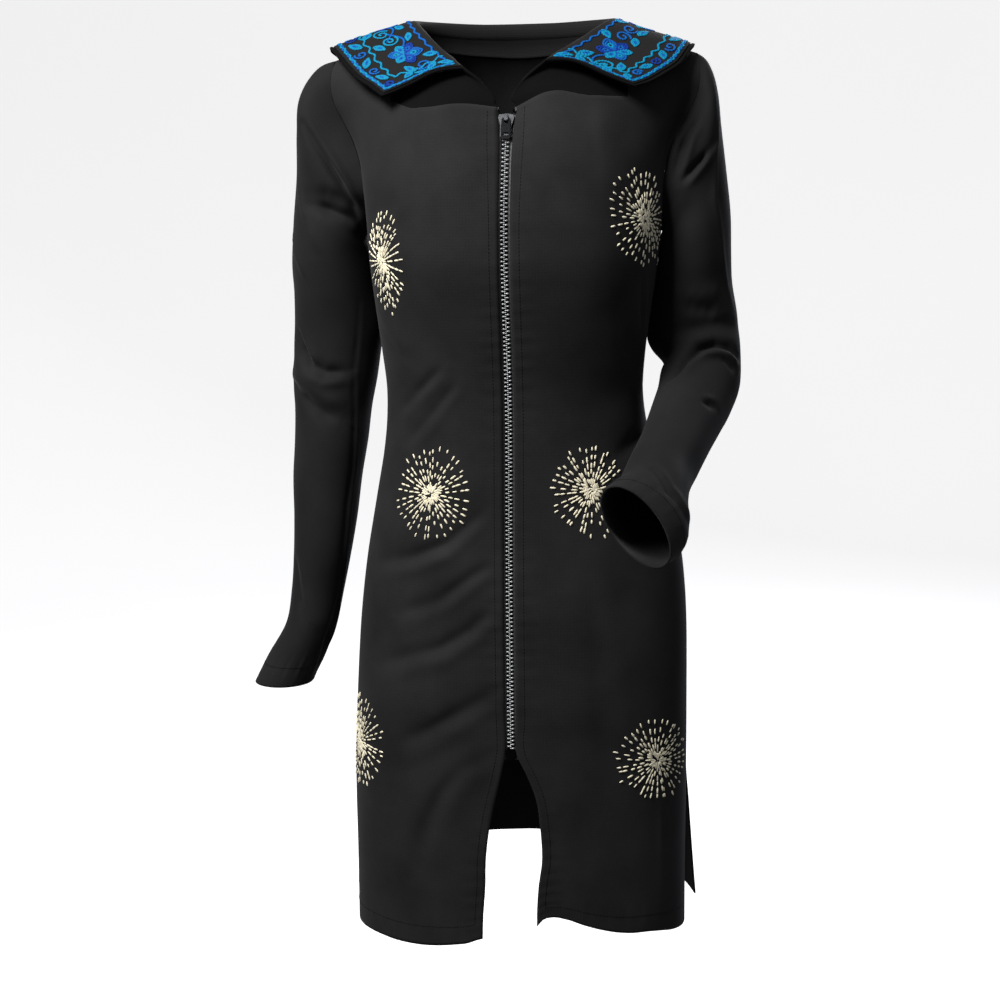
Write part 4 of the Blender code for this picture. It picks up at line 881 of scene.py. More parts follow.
    def place(self, u, v):
        """Points of the surface at places on the flat cut, and the outward normals there."""
        u = np.asarray(u, float)
        if self.closed:
            u = u % self.u[-1]
        i = np.interp(u, self.u, np.arange(len(self.u)))
        j = np.interp(v, self.v, np.arange(len(self.v)))
        columns = self.grid.shape[1]
        i0, j0 = np.floor(i).astype(int), np.floor(j).astype(int)
        j0 = np.minimum(j0, len(self.v) - 2)
        i0 = np.minimum(i0, len(self.u) - 2)
        s, t = (i - i0)[..., None], (j - j0)[..., None]
        i1 = (i0 + 1) % columns if self.closed else i0 + 1
        found = []
        for values in (self.grid, self.normals()):
            low = values[j0, i0] * (1 - s) + values[j0, i1] * s
            high = values[j0 + 1, i0] * (1 - s) + values[j0 + 1, i1] * s
            found.append(low * (1 - t) + high * t)
        return found[0], unit(found[1])

    def nearest_cut(self, point):
        """The place on the flat cut of the grid point nearest to a point in space."""
        away = np.linalg.norm(self.grid - np.array(point), axis=2)
        j, i = np.unravel_index(int(np.argmin(away)), away.shape)
        return float(self.u[i]), float(self.v[j])


def nearest(points, line):
    """Each point's distance from a line of points."""
    best = np.full(len(points), np.inf)
    for a, b in zip(line, line[1:]):
        run = b - a
        along = np.clip((points - a) @ run / max(run @ run, 1e-12), 0.0, 1.0)
        best = np.minimum(best, np.linalg.norm(points - a - along[:, None] * run, axis=1))
    return best


def stroke_push(grid, out, depth, wide, ridge, point, places):
    """How far one crease presses each point in. Its depth and width wander a little on the way."""
    places = np.array(places)
    points = grid.reshape(-1, 3)
    facing = out.reshape(-1, 3)
    best = np.full(len(points), np.inf)
    side = np.zeros(len(points))
    share = np.zeros(len(points))
    total = length_of(places)
    passed = 0.0
    for a, b in zip(places, places[1:]):
        run = b - a
        long = np.linalg.norm(run)
        along = np.clip((points - a) @ run / long**2, 0.0, 1.0)
        off = points - a - along[:, None] * run
        away = np.linalg.norm(off, axis=1)
        closer = away < best
        turned = np.sign((np.cross(facing, run) * off).sum(axis=1))
        best = np.where(closer, away, best)
        side = np.where(closer, turned, side)
        share = np.where(closer, (passed + along * long) / total, share)
        passed += long
    taper = np.sin(np.pi * np.clip(share * TAPER_RUN + TAPER_START, 0, 1)) ** TAPER_POWER
    wander = 1.0
    for sway, often, shift in WANDERS:
        wander = wander + sway * np.sin(share * often + depth * shift)
    wide = wide * (WIDTH_START + WIDTH_GROWTH * share)
    trough = np.exp(-((best / wide) ** point))
    beside = np.exp(-(((side * best - RIDGE_AWAY * wide) / (RIDGE_WIDE * wide)) ** 2))
    return ((depth * trough - ridge * beside) * taper * wander).reshape(grid.shape[:2])


def shell(name, cloth, material, near=0.0, far=CLOTH, sewn=()):
    """A closed sheet of cloth between two depths under its outer face, with its cut as a UV map.
    Its edge is crisp along the sewn lines and rounded where the cloth is turned in."""
    out = cloth.normals().reshape(-1, 3)
    points = cloth.grid.reshape(-1, 3).copy()
    edges = cloth.border()
    middles = np.zeros_like(points)
    counts = np.zeros(len(points))
    for k in range(4):
        np.add.at(middles, cloth.cells[:, k], points[cloth.cells].mean(axis=1))
        np.add.at(counts, cloth.cells[:, k], 1)
    middles /= np.maximum(counts, 1)[:, None]
    rim = np.unique(edges)
    inward = middles[rim] - points[rim]
    inward -= out[rim] * (inward * out[rim]).sum(axis=1, keepdims=True)
    points[rim] += unit(inward) * SEAM_PULL
    near = np.broadcast_to(near, cloth.grid.shape[:2]).reshape(-1, 1)
    far = np.broadcast_to(far, cloth.grid.shape[:2]).reshape(-1, 1)
    used = np.flatnonzero(cloth.shown)
    number = np.zeros(len(points), int)
    number[used] = np.arange(len(used))
    count = len(used)
    cells = number[cloth.cells]
    flat = cloth.cell_flat
    edges = number[edges]
    rim_faces = np.stack([edges[:, 1], edges[:, 0], edges[:, 0] + count, edges[:, 1] + count], axis=1)
    faces = np.concatenate([cells, cells[:, ::-1] + count, rim_faces])
    place = {}
    for corners, spots in zip(cells, flat):
        for corner, spot in zip(corners, spots):
            place.setdefault(int(corner), spot)
    rim_flat = np.array([[place[b], place[a], place[a], place[b]] for a, b in edges])
    flats = np.concatenate([flat, flat[:, ::-1], rim_flat])
    if cloth.facing < 0:
        faces = faces[:, ::-1]
        flats = flats[:, ::-1]
    outer = (points - out * near)[used]
    inner = (points - out * far)[used]
    piece = mesh_piece(name, np.concatenate([outer, inner]), faces.tolist(), material)
    if sewn:
        piece.data.set_sharp_from_angle(angle=SHARP_EDGE)
        ends = np.zeros(2 * len(piece.data.edges), int)
        piece.data.edges.foreach_get("vertices", ends)
        everywhere = np.concatenate([outer, inner])
        away = np.min([nearest(everywhere[ends[::2]], line) for line in sewn], axis=0)
        sharp = piece.data.attributes["sharp_edge"].data
        crisp = np.zeros(len(sharp), bool)
        sharp.foreach_get("value", crisp)
        sharp.foreach_set("value", crisp & (away < CRISP_REACH))
    cut = piece.data.uv_layers.new(name="cut")
    cut.data.foreach_set("uv", flats.reshape(-1))
    return piece


def knitted(name, dark, light, roughness, sheen=0.08, shine=0.25):
    """Double-knit jersey: matt, near black and very slightly uneven, with a fine bloom of fibre
    that catches light at a shallow angle. Its loops are 1 mm apart and are drawn 3.2 mm apart,
    so that they just show."""
    material, tree, shader = new_material(
        name, roughness, Sheen_Weight=sheen, Sheen_Roughness=0.45, Specular_IOR_Level=shine
    )
    shader.inputs["Sheen Tint"].default_value = linear(KNIT_BLOOM)
    cut = add_node(tree, "ShaderNodeUVMap", {"uv_map": "cut"}).outputs["UV"]
    solid = add_node(tree, "ShaderNodeTexCoord").outputs["Object"]
    # A wave's bands lie 2 pi / 20 apart at a scale of one
    scale = math.pi / 10 / KNIT_PITCH
    ribs = add_node(
        tree, "ShaderNodeTexWave", {"wave_type": "BANDS", "bands_direction": "X"},
        {"Vector": cut, "Scale": scale, "Distortion": 1.2, "Detail": 1.0, "Detail Scale": 1.5},
    ).outputs["Fac"]
    rows = add_node(
        tree, "ShaderNodeTexWave", {"wave_type": "BANDS", "bands_direction": "Y"},
        {"Vector": cut, "Scale": scale, "Distortion": 1.0},
    ).outputs["Fac"]
    loops = add_node(tree, "ShaderNodeMath", {"operation": "MULTIPLY"}, {0: ribs, 1: rows}).outputs[0]
    slub = add_node(
        tree, "ShaderNodeTexNoise", {}, {"Vector": solid, "Scale": 1 / KNIT_SLUB, "Detail": 2.0}
    ).outputs["Fac"]
    patch = add_node(
        tree, "ShaderNodeTexNoise", {}, {"Vector": solid, "Scale": 1 / KNIT_PATCH, "Detail": 3.0}
    ).outputs["Fac"]
    grain = add_node(
        tree, "ShaderNodeMath", {"operation": "MULTIPLY_ADD"}, {0: loops, 1: LOOP_SHARE, 2: slub}
    ).outputs[0]
    tone = add_node(
        tree, "ShaderNodeMath", {"operation": "MULTIPLY_ADD"}, {0: grain, 1: GRAIN_SHARE, 2: patch}
    ).outputs[0]
    tone = add_node(
        tree, "ShaderNodeMapRange", {}, {"Value": tone, "From Min": TONE_FROM, "From Max": TONE_TO}
    ).outputs["Result"]
    finished(tree, shader, tone, dark, light, grain, strength=0.16, distance=0.0004)
    return material


double_knit = knitted("double_knit_jersey", KNIT_DARK, KNIT_LIGHT, KNIT_ROUGHNESS)

right_front = front_panel("right")
left_front = front_panel("left")
right_back = back_half("right")
left_back = back_half("left")
whole_back = np.concatenate([mirrored(right_back[:, :0:-1]), left_back], axis=1)
ABSENT = (NECK_CORNER_ROW, NECK_CORNER_COLUMN)
grids = {
    "front_right": mirrored(folded(right_front, mirrored_folds(FRONT_FOLDS), -1.0)),
    "front_left": folded(left_front, FRONT_FOLDS, -1.0),
    "back": folded(whole_back, BACK_FOLDS, 1.0),
}
cloths = {
    "front_left": Cloth(grids["front_left"], 1.0, BODY_STEP, absent=ABSENT),
    "front_right": Cloth(grids["front_right"], -1.0, BODY_STEP, absent=ABSENT),
    "back": Cloth(grids["back"], -1.0, BACK_STEP),
}
creases = {
    "front_left": FRONT_LEFT_CREASES, "front_right": FRONT_RIGHT_CREASES, "back": BACK_CREASES
}
seam_creases = {"front_left": LEFT_SEAM_CREASES, "front_right": RIGHT_SEAM_CREASES}
first = LOWER_ROWS.index(VENT_TOP)
# Between these two rows the sleeve lies against the side, and the seam shows no groove
last_open = LOWER_ROWS.index(ARM_CLEAR)
first_free = len(LOWER_ROWS) + ARMHOLE_FREE
for name, cloth in cloths.items():
    grid = grids[name]
    open_side = grid[first : last_open + 1]
    armhole_side = grid[first_free:]
    u, v = np.meshgrid(cloth.u, cloth.v)
    if name == "back":
        sewn = [grid[first:, 0], grid[first:, -1], grid[-1]]
        grooves = [open_side[:, 0], open_side[:, -1], armhole_side[:, 0], armhole_side[:, -1], grid[-1]]
    else:
        corner_row, corner_column = ABSENT
        sewn = [grid[first:, -1], grid[-1, corner_column:], grid[corner_row:, corner_column]]
        grooves = [open_side[:, -1], armhole_side[:, -1], grid[-1, corner_column:]]
        grooves.append(grid[corner_row, : corner_column - 1])
        cloth.pucker(u - ZIP_PUCKER_IN, v)
    cloth.pucker(v - HEM_STITCH_UP, u, PUCKER * HEM_PUCKER)
    cloth.press(creases[name], sewn)
    if name in seam_creases:
        cloth.press_back(seam_creases[name])
    cloth.tuck(grooves)
    piece = shell(f"{name}_cloth", cloth, double_knit, sewn=sewn)
    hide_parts(name)
    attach(piece, "coat")


# The sleeves
# Two set-in sleeves of the same jersey, each one piece joined along the inside of the arm. One
# hangs down and the other is bent at the elbow. Their cuffs are turned in and topstitched.

# The cap's rings: the X and Z of the inner and outer side, the Y of the middle, half the depth, and
# how much of the armhole's own shape is left
RIGHT_CAP = (
    (0.1580, -0.2050, 0.1920, -0.0220, 0.000, 0.044, 1.00),
    (0.1600, -0.2053, 0.2080, -0.0275, 0.001, 0.046, 0.84),
    (0.1622, -0.2062, 0.2220, -0.0410, 0.002, 0.048, 0.66),
    (0.1640, -0.2080, 0.2320, -0.0590, 0.004, 0.050, 0.48),
    (0.1645, -0.2110, 0.2365, -0.0920, 0.006, 0.051, 0.28),
    (0.1640, -0.2150, 0.2405, -0.1400, 0.009, 0.051, 0.12),
    (0.1625, -0.2200, 0.2450, -0.1870, 0.012, 0.051, 0.03),
)
LEFT_CAP = (
    (0.1550, -0.2050, 0.1920, -0.0220, 0.000, 0.044, 1.00),
    (0.1568, -0.2053, 0.2010, -0.0290, 0.001, 0.046, 0.84),
    (0.1580, -0.2062, 0.2085, -0.0430, 0.002, 0.048, 0.66),
    (0.1585, -0.2080, 0.2135, -0.0620, 0.004, 0.050, 0.48),
    (0.1580, -0.2110, 0.2175, -0.0950, 0.007, 0.052, 0.28),
    (0.1568, -0.2150, 0.2235, -0.1400, 0.011, 0.054, 0.12),
    (0.1550, -0.2200, 0.2285, -0.1870, 0.015, 0.055, 0.03),
)
# The arm's rings: the middle, half the width and depth, how square they stand to the arm, and a turn
HANGING_ARM = (
    (0.2045, 0.016, -0.2300, 0.0440, 0.0510, 0.0, 0.0),
    (0.2030, 0.020, -0.2700, 0.0465, 0.0510, 0.0, 0.0),
    (0.2025, 0.022, -0.3120, 0.0505, 0.0490, 0.0, 0.0),
    (0.2035, 0.021, -0.3350, 0.0485, 0.0480, 0.0, 0.0),
    (0.2060, 0.019, -0.3620, 0.0470, 0.0480, 0.0, 0.0),
    (0.2080, 0.015, -0.3950, 0.0427, 0.0470, 0.0, 0.0),
    (0.2100, 0.009, -0.4300, 0.0407, 0.0460, 0.0, 0.0),
    (0.2140, 0.002, -0.4700, 0.0383, 0.0430, 0.0, 0.0),
    (0.2160, -0.006, -0.5150, 0.0350, 0.0410, 0.0, 0.0),
    (0.2196, -0.014, -0.5550, 0.0322, 0.0390, 0.0, 0.0),
    (0.2253, -0.020, -0.5950, 0.0302, 0.0370, 0.0, 0.0),
    (0.2312, -0.026, -0.6300, 0.0285, 0.0350, 0.0, 0.0),
    (0.2487, -0.031, -0.6680, 0.0315, 0.0340, 0.0, 0.0),
    (0.2625, -0.035, -0.6970, 0.0325, 0.0340, 0.0, 0.0),
)
BENT_ARM = (
    (0.1910, 0.020, -0.2300, 0.0385, 0.0550, 0.0, 0.0),
    (0.1893, 0.025, -0.2600, 0.0415, 0.0540, 0.2, 0.0),
    (0.1893, 0.027, -0.2920, 0.0468, 0.0530, 0.5, 0.0),
    (0.1890, 0.026, -0.3160, 0.0495, 0.0500, 0.8, 0.0),
    (0.1985, 0.015, -0.3400, 0.0425, 0.0480, 1.0, 0.0),
    (0.1970, 0.000, -0.3630, 0.0435, 0.0470, 1.0, 0.0),
    (0.1915, -0.020, -0.3820, 0.0410, 0.0450, 1.0, 0.0),
    (0.1845, -0.045, -0.3960, 0.0385, 0.0430, 1.0, 0.0),
    (0.1765, -0.075, -0.4110, 0.0360, 0.0415, 1.0, 0.0),
    (0.1675, -0.110, -0.4280, 0.0340, 0.0405, 1.0, 0.0),
    (0.1575, -0.145, -0.4445, 0.0335, 0.0405, 1.0, 0.0),
    (0.1500, -0.180, -0.4620, 0.0365, 0.0395, 1.0, -30.0),
    (0.1460, -0.212, -0.4760, 0.0480, 0.0350, 1.0, -46.0),
    (0.1370, -0.243, -0.4800, 0.0465, 0.0260, 1.0, -51.0),
)
# Broad hollows: the ring, the side in degrees round from the inside, the depth and the spread
HANGING_CREASES = ((5.0, 110.0, 0.0050, 65.0), (9.0, 170.0, 0.0030, 70.0), (17.0, 120.0, 0.0030, 80.0))
BENT_CREASES = ((5.0, 100.0, 0.0040, 60.0), (10.0, 60.0, 0.0060, 60.0), (12.0, 80.0, 0.0050, 55.0))
RIGHT_SLEEVE_CREASES = (
    (-0.0028, 0.0036, 0.0000, 1.5, (
        (-0.234, -0.012, -0.147), (-0.227, -0.025, -0.174), (-0.216, -0.034, -0.205),
        (-0.210, -0.035, -0.221))),
    (-0.0024, 0.0036, 0.0000, 1.5, (
        (-0.244, -0.001, -0.206), (-0.233, -0.022, -0.234), (-0.226, -0.028, -0.255))),
    (0.0077, 0.0072, 0.0034, 1.6, (
        (-0.186, -0.024, -0.353), (-0.208, -0.028, -0.353), (-0.228, -0.020, -0.343),
        (-0.239, -0.009, -0.325))),
    (0.0059, 0.0036, 0.0024, 1.3, (
        (-0.241, -0.006, -0.309), (-0.233, -0.016, -0.330), (-0.224, -0.024, -0.353))),
    (0.0072, 0.0080, 0.0028, 1.7, (
        (-0.250, 0.003, -0.367), (-0.232, -0.022, -0.382), (-0.208, -0.032, -0.397),
        (-0.192, -0.029, -0.405))),
    (0.0037, 0.0064, 0.0018, 1.8, (
        (-0.244, -0.038, -0.560), (-0.238, -0.051, -0.602), (-0.219, -0.053, -0.646))),
    (0.0034, 0.0064, 0.0015, 1.8, (
        (-0.199, -0.033, -0.605), (-0.214, -0.041, -0.655), (-0.226, -0.037, -0.687))),
    (0.0052, 0.0072, 0.0021, 1.6, (
        (-0.200, 0.064, -0.330), (-0.225, 0.058, -0.345), (-0.243, 0.040, -0.352))),
    (0.0047, 0.0068, 0.0021, 1.6, (
        (-0.190, 0.060, -0.385), (-0.215, 0.060, -0.378), (-0.240, 0.045, -0.388))),
    (0.0052, 0.0072, 0.0021, 1.6, (
        (-0.235, 0.045, -0.150), (-0.215, 0.058, -0.185), (-0.185, 0.052, -0.205))),
    (0.0034, 0.0072, 0.0013, 1.8, (
        (-0.205, 0.040, -0.470), (-0.235, 0.035, -0.500), (-0.248, 0.015, -0.520))),
    (0.0024, 0.0030, 0.0008, 1.1, (
        (-0.170, -0.015, -0.276), (-0.173, -0.017, -0.318), (-0.177, -0.020, -0.354),
        (-0.178, -0.019, -0.400), (-0.182, -0.022, -0.462), (-0.187, -0.029, -0.498),
        (-0.192, -0.034, -0.547), (-0.197, -0.031, -0.595), (-0.202, -0.031, -0.622))),
)
LEFT_SLEEVE_CREASES = (
    (-0.0024, 0.0045, 0.0000, 1.6, (
        (0.214, -0.010, -0.080), (0.212, -0.023, -0.123), (0.210, -0.028, -0.174),
        (0.219, -0.015, -0.236), (0.232, 0.007, -0.290))),
    (0.0044, 0.0098, 0.0018, 2.0, (
        (0.181, -0.024, -0.283), (0.197, -0.024, -0.287), (0.214, -0.018, -0.291))),
    (-0.0050, 0.0085, 0.0000, 2.0, (
        (0.1575, 0.004, -0.190), (0.1560, 0.007, -0.209), (0.1540, 0.012, -0.226))),
    (-0.0026, 0.0115, 0.0000, 2.0, (
        (0.1430, 0.027, -0.294), (0.1410, 0.028, -0.322), (0.1450, 0.024, -0.350))),
    (0.0111, 0.0053, 0.0052, 1.4, (
        (0.237, -0.005, -0.341), (0.229, -0.015, -0.329), (0.213, -0.024, -0.324),
        (0.197, -0.028, -0.327), (0.181, -0.032, -0.340), (0.168, -0.051, -0.357))),
    (0.0037, 0.0037, 0.0018, 1.4, ((0.220, -0.028, -0.338), (0.233, -0.021, -0.352))),
    (0.0034, 0.0041, 0.0013, 1.4, ((0.200, -0.085, -0.378), (0.214, -0.070, -0.386))),
    (0.0044, 0.0045, 0.0018, 1.5, (
        (0.152, -0.204, -0.431), (0.167, -0.221, -0.449), (0.187, -0.211, -0.487))),
    (0.0052, 0.0082, 0.0021, 1.7, ((0.170, 0.070, -0.300), (0.200, 0.072, -0.315), (0.225, 0.058, -0.318))),
    (0.0041, 0.0074, 0.0018, 1.7, ((0.225, 0.045, -0.150), (0.205, 0.058, -0.185), (0.178, 0.055, -0.205))),
    (0.0044, 0.0074, 0.0018, 1.7, (
        (0.160, -0.010, -0.400), (0.175, -0.030, -0.425), (0.195, -0.040, -0.432))),
    (0.0034, 0.0066, 0.0013, 1.8, (
        (0.140, -0.090, -0.440), (0.160, -0.105, -0.462), (0.185, -0.110, -0.462))),
)
SLEEVE_STEP = 0.0029
CUFF_STITCH_UP = 0.0240
CUFF_PUCKER = 0.8
# Where the sleeve leaves the side: columns from the underarm, and the first ring of the open seam
CAP_FREE = 4
SEAM_RING = 13
# The same knit as the body's, a little darker, as it looks in the photograph: painted shade, as the sleeves
# hang turned from the light
SLEEVE_PAINTED_SHADE_DARK = "#060607"
SLEEVE_PAINTED_SHADE_LIGHT = "#151517"


def armhole(front, back):
    """The armhole's loop from the underarm up the front to the shoulder and down the back."""
    first = len(LOWER_ROWS) - 1
    up = front[first:, -1]
    down = back[first:, -1][::-1]
    return np.concatenate([up, down[1:-1]])


def sleeve(loop, cap, arm, creases):
    """A sleeve's outer face as rings from the armhole to the cuff, for the +X side."""
    around = np.linspace(0.0, 2 * np.pi, len(loop), endpoint=False)
    outwards = 0.5 - 0.5 * np.cos(around)
    forward = np.sin(around)
    rings = []
    for inner_x, inner_z, outer_x, outer_z, middle_y, half_depth, _ in cap:
        x = inner_x + (outer_x - inner_x) * outwards
        z = inner_z + (outer_z - inner_z) * outwards
        rings.append(np.stack([x, middle_y - half_depth * forward, z], axis=1))
    difference = loop - rings[0]
    rings = [ring + row[-1] * difference for ring, row in zip(rings, cap)]
    centres = np.array([row[:3] for row in arm], float)
    tangents = unit(np.gradient(centres, axis=0))
    for (x, y, z, half_across, half_deep, square, turn), tangent in zip(arm, tangents):
        along = unit(np.array([0.0, 0.0, -1.0]) * (1 - square) + tangent * square)
        across = unit(np.array([1.0, 0.0, 0.0]) - along * along[0])
        deep = np.cross(along, across)
        turn = math.radians(turn)
        broad = half_across * np.cos(np.pi - around - turn)
        narrow = half_deep * np.sin(np.pi - around - turn)
        ring = np.outer(broad * math.cos(turn) - narrow * math.sin(turn), across)
        ring += np.outer(broad * math.sin(turn) + narrow * math.cos(turn), deep)
        rings.append(np.array([x, y, z]) + ring)
    grid = np.stack(rings)
    centre = grid.mean(axis=1, keepdims=True)
    ring_number = np.arange(len(grid))[:, None]
    for at, side, depth, spread in creases:
        turn = (np.degrees(around)[None, :] - side + 180.0) % 360.0 - 180.0
        press = depth * np.exp(-((ring_number - at) ** 2)) * np.exp(-((turn / spread) ** 2))
        grid -= unit(grid - centre) * press[..., None]
    return grid


loops = {"left": armhole(left_front, left_back), "right": armhole(right_front, right_back)}
grids["sleeve_left"] = sleeve(loops["left"], LEFT_CAP, BENT_ARM, BENT_CREASES)
grids["sleeve_right"] = mirrored(sleeve(loops["right"], RIGHT_CAP, HANGING_ARM, HANGING_CREASES))
cloths["sleeve_left"] = Cloth(grids["sleeve_left"], -1.0, SLEEVE_STEP, closed=True)
cloths["sleeve_right"] = Cloth(grids["sleeve_right"], 1.0, SLEEVE_STEP, closed=True)
# A shaded copy of the body's knit: its darker colours are painted shade
sleeve_knit_painted_shade = knitted("double_knit_jersey_sleeves_painted_shade", SLEEVE_PAINTED_SHADE_DARK, SLEEVE_PAINTED_SHADE_LIGHT, KNIT_ROUGHNESS)
creases["sleeve_left"] = LEFT_SLEEVE_CREASES
creases["sleeve_right"] = RIGHT_SLEEVE_CREASES
for name in ("sleeve_left", "sleeve_right"):
    cloth = cloths[name]
    grid = grids[name]
    u, v = np.meshgrid(cloth.u[:-1], cloth.v)
    cloth.pucker(cloth.v[-1] - CUFF_STITCH_UP - v, u, PUCKER * CUFF_PUCKER)
    cap = np.concatenate([grid[0], grid[0, :1]])
    cloth.press(creases[name], [cap])
    cloth.press_back(LEFT_SEAM_CREASES if name == "sleeve_left" else RIGHT_SEAM_CREASES)
    cloth.tuck([grid[0, CAP_FREE:-CAP_FREE], grid[SEAM_RING:, 0]])
    piece = shell(f"{name}_cloth", cloth, sleeve_knit_painted_shade, sewn=[cap])
    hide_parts(name)
    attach(piece, "coat")


# The collar
# A wide fold-over collar: a band of the jersey stands up from the neck seam, rolls over and falls
# to the shoulders. Its edge is turned round the facing as a plain black rim.

FACING = 0.0012
UNDER_FACING = CLOTH + GAP + FACING
ROLL_RADIUS = 0.0050
ROLL_ROWS = 5
STAND_ROWS = 3
ROLL_TOP_ROW = STAND_ROWS + ROLL_ROWS // 2
RIM_WIDTH = 0.0050
# How far the fall lifts beside its front edge
EDGE_WAVE = {"right": 0.0105, "left": 0.0120}
LOW_STAND = 0.36
LOW_STAND_BOW = 0.9
HIGH_STAND_BOW = 0.4
HIGH_FALL = 0.36
LOW_FALL = 0.70
LOW_FALL_BOW = 0.9
LOW_FALL_WAVE = 0.4
COLLAR_STEP = 0.0034
RIM_ROLL = 0.0012
# The band's knit is drawn darker and duller than the body's: painted shade under the collar's fall
BAND_PAINTED_SHADE_DARK = "#070708"
BAND_PAINTED_SHADE_LIGHT = "#0c0c0e"
BAND_PAINTED_SHADE_ROUGHNESS = 0.95
BAND_PAINTED_SHADE_SHEEN = 0.01
BAND_PAINTED_SHADE_SHINE = 0.08
GROUND_DARK = "#09090a"
GROUND_LIGHT = "#141315"
GROUND_ROUGHNESS = 0.86
GROUND_THREAD = 0.0022


def neck_seam(front, back, side):
    """The neck seam from the zip round to the middle of the back, and its stations."""
    along_front = front[NECK_CORNER_ROW, : NECK_CORNER_COLUMN + 1]
    up_side = front[NECK_CORNER_ROW + 1 :, NECK_CORNER_COLUMN]
    along_back = back[-1, BACK_NECK_COLUMNS - 1 :: -1]
    stations = (front_neck_stations(side), side_neck_stations(), back_neck_stations()[1:])
    return np.concatenate([along_front, up_side, along_back]), np.concatenate(stations)


def touch_point(end, centre, apex, radius):
    """Where a straight line from a point meets the roll's circle, on the apex's side."""
    away = end - centre
    far = np.linalg.norm(away, axis=1, keepdims=True)
    towards = away / far
    aside = unit(apex - towards * (apex * towards).sum(1, keepdims=True))
    cosine = radius / far
    return radius * (cosine * towards + np.sqrt(1.0 - cosine**2) * aside)


def collar(seam, stations, side):
    """The collar's under face, rows from the neck seam over the roll to the edge, for +X."""
    roll = collar_points("roll", stations, side)
    edge = collar_points("edge", stations, side)
    stand = unit(roll - seam)
    fall = unit(edge - roll)
    apex = unit(stand - fall)
    out = unit(stand + fall)
    centre = roll - apex * ROLL_RADIUS
    stand_bow = out * collar_value("stand_bow", stations, side)[:, None]
    fall_bow = apex * collar_value("fall_bow", stations, side)[:, None]
    rim_inner = edge - fall * RIM_WIDTH
    wave = np.cos(np.clip(stations, 0.0, 1.0) * np.pi / 2)[:, None] ** 2
    lift = apex * EDGE_WAVE[side] * wave
    low_stand = seam + (roll - seam) * LOW_STAND - stand_bow * LOW_STAND_BOW
    high_fall = centre + (rim_inner - centre) * HIGH_FALL + fall_bow + lift
    low_fall = centre + (rim_inner - centre) * LOW_FALL + fall_bow * LOW_FALL_BOW
    low_fall += lift * LOW_FALL_WAVE
    first = touch_point(low_stand, centre, apex, ROLL_RADIUS)
    last = touch_point(high_fall, centre, apex, ROLL_RADIUS)
    start = np.arctan2((first * out).sum(1), (first * apex).sum(1))[:, None]
    end = np.arctan2((last * out).sum(1), (last * apex).sum(1))[:, None]
    arc = []
    for share in np.linspace(0.0, 1.0, ROLL_ROWS):
        angle = start + (end - start) * share
        arc.append(centre + ROLL_RADIUS * (np.cos(angle) * apex + np.sin(angle) * out))
    high_stand = (low_stand + arc[0]) / 2 - stand_bow * HIGH_STAND_BOW
    return np.stack([seam, low_stand, high_stand, *arc, high_fall, low_fall, rim_inner, edge])


right_collar = collar(*neck_seam(right_front, right_back, "right"), "right")
left_collar = collar(*neck_seam(left_front, left_back, "left"), "left")
grids["collar"] = np.concatenate([left_collar, mirrored(right_collar[:, -2::-1])], axis=1)
band = Cloth(grids["collar"], 1.0, COLLAR_STEP)
cloths["collar"] = band
band.tuck([grids["collar"][0, :NECK_COLUMNS], grids["collar"][0, -NECK_COLUMNS:]])
u, v = np.meshgrid(band.u, band.v)
edge_away = np.minimum(band.v[-1] - v, np.minimum(u, band.u[-1] - u))
on_fall = v > band.rows_at[STAND_ROWS - 1]
into_rim = np.where(on_fall, np.clip((RIM_WIDTH - edge_away) / RIM_ROLL, 0.0, 1.0), 0.0)
rim_far = CLOTH + (UNDER_FACING - CLOTH) * into_rim
# The band wears the darker knit, painted shade for where the fall shadows it
band_knit_painted_shade = knitted("double_knit_painted_shade", BAND_PAINTED_SHADE_DARK, BAND_PAINTED_SHADE_LIGHT, BAND_PAINTED_SHADE_ROUGHNESS,
                  BAND_PAINTED_SHADE_SHEEN, BAND_PAINTED_SHADE_SHINE)
band_piece = shell("collar_band", band, band_knit_painted_shade, far=rim_far, sewn=[grids["collar"][0]])
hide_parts("collar")
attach(band_piece, "coat")

# The facing lies on the band from the neck seam to the rim, under thick embroidery, and is sewn in
# round its edge. Plain-woven cotton: matt and brownish black, its threads 0.6 mm apart and drawn
# 2.2 mm apart, so that they just show.
facing_weave, tree, shader = new_material(
    "plain_woven_cotton", GROUND_ROUGHNESS, Sheen_Weight=0.04, Sheen_Roughness=0.5,
    Specular_IOR_Level=0.2,
)
cut = add_node(tree, "ShaderNodeUVMap", {"uv_map": "cut"}).outputs["UV"]
warp, weft = (
    add_node(
        tree, "ShaderNodeTexWave", {"bands_direction": way},
        {"Vector": cut, "Scale": math.pi / 10 / GROUND_THREAD, "Distortion": 0.8},
    ).outputs["Fac"]
    for way in ("X", "Y")
)
weave = add_node(tree, "ShaderNodeMath", {"operation": "MULTIPLY"}, {0: warp, 1: weft}).outputs[0]
finished(tree, shader, weave, GROUND_DARK, GROUND_LIGHT, weave, strength=0.5, distance=0.0004)

facing = Cloth(grids["collar"][:-1, 1:-1], 1.0, COLLAR_STEP)
facing.tuck([grids["collar"][0, 1:-1]])
facing_piece = shell("collar_facing_cloth", facing, facing_weave, CLOTH + GAP, UNDER_FACING)
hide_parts("collar_facing")
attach(facing_piece, "coat")


# The zip
# A long open-ended zip: two woven polyester tapes sewn under the fronts' edges, each with a row
# of moulded teeth that lock in the middle, a cast slider with its pull, and stops at the ends.

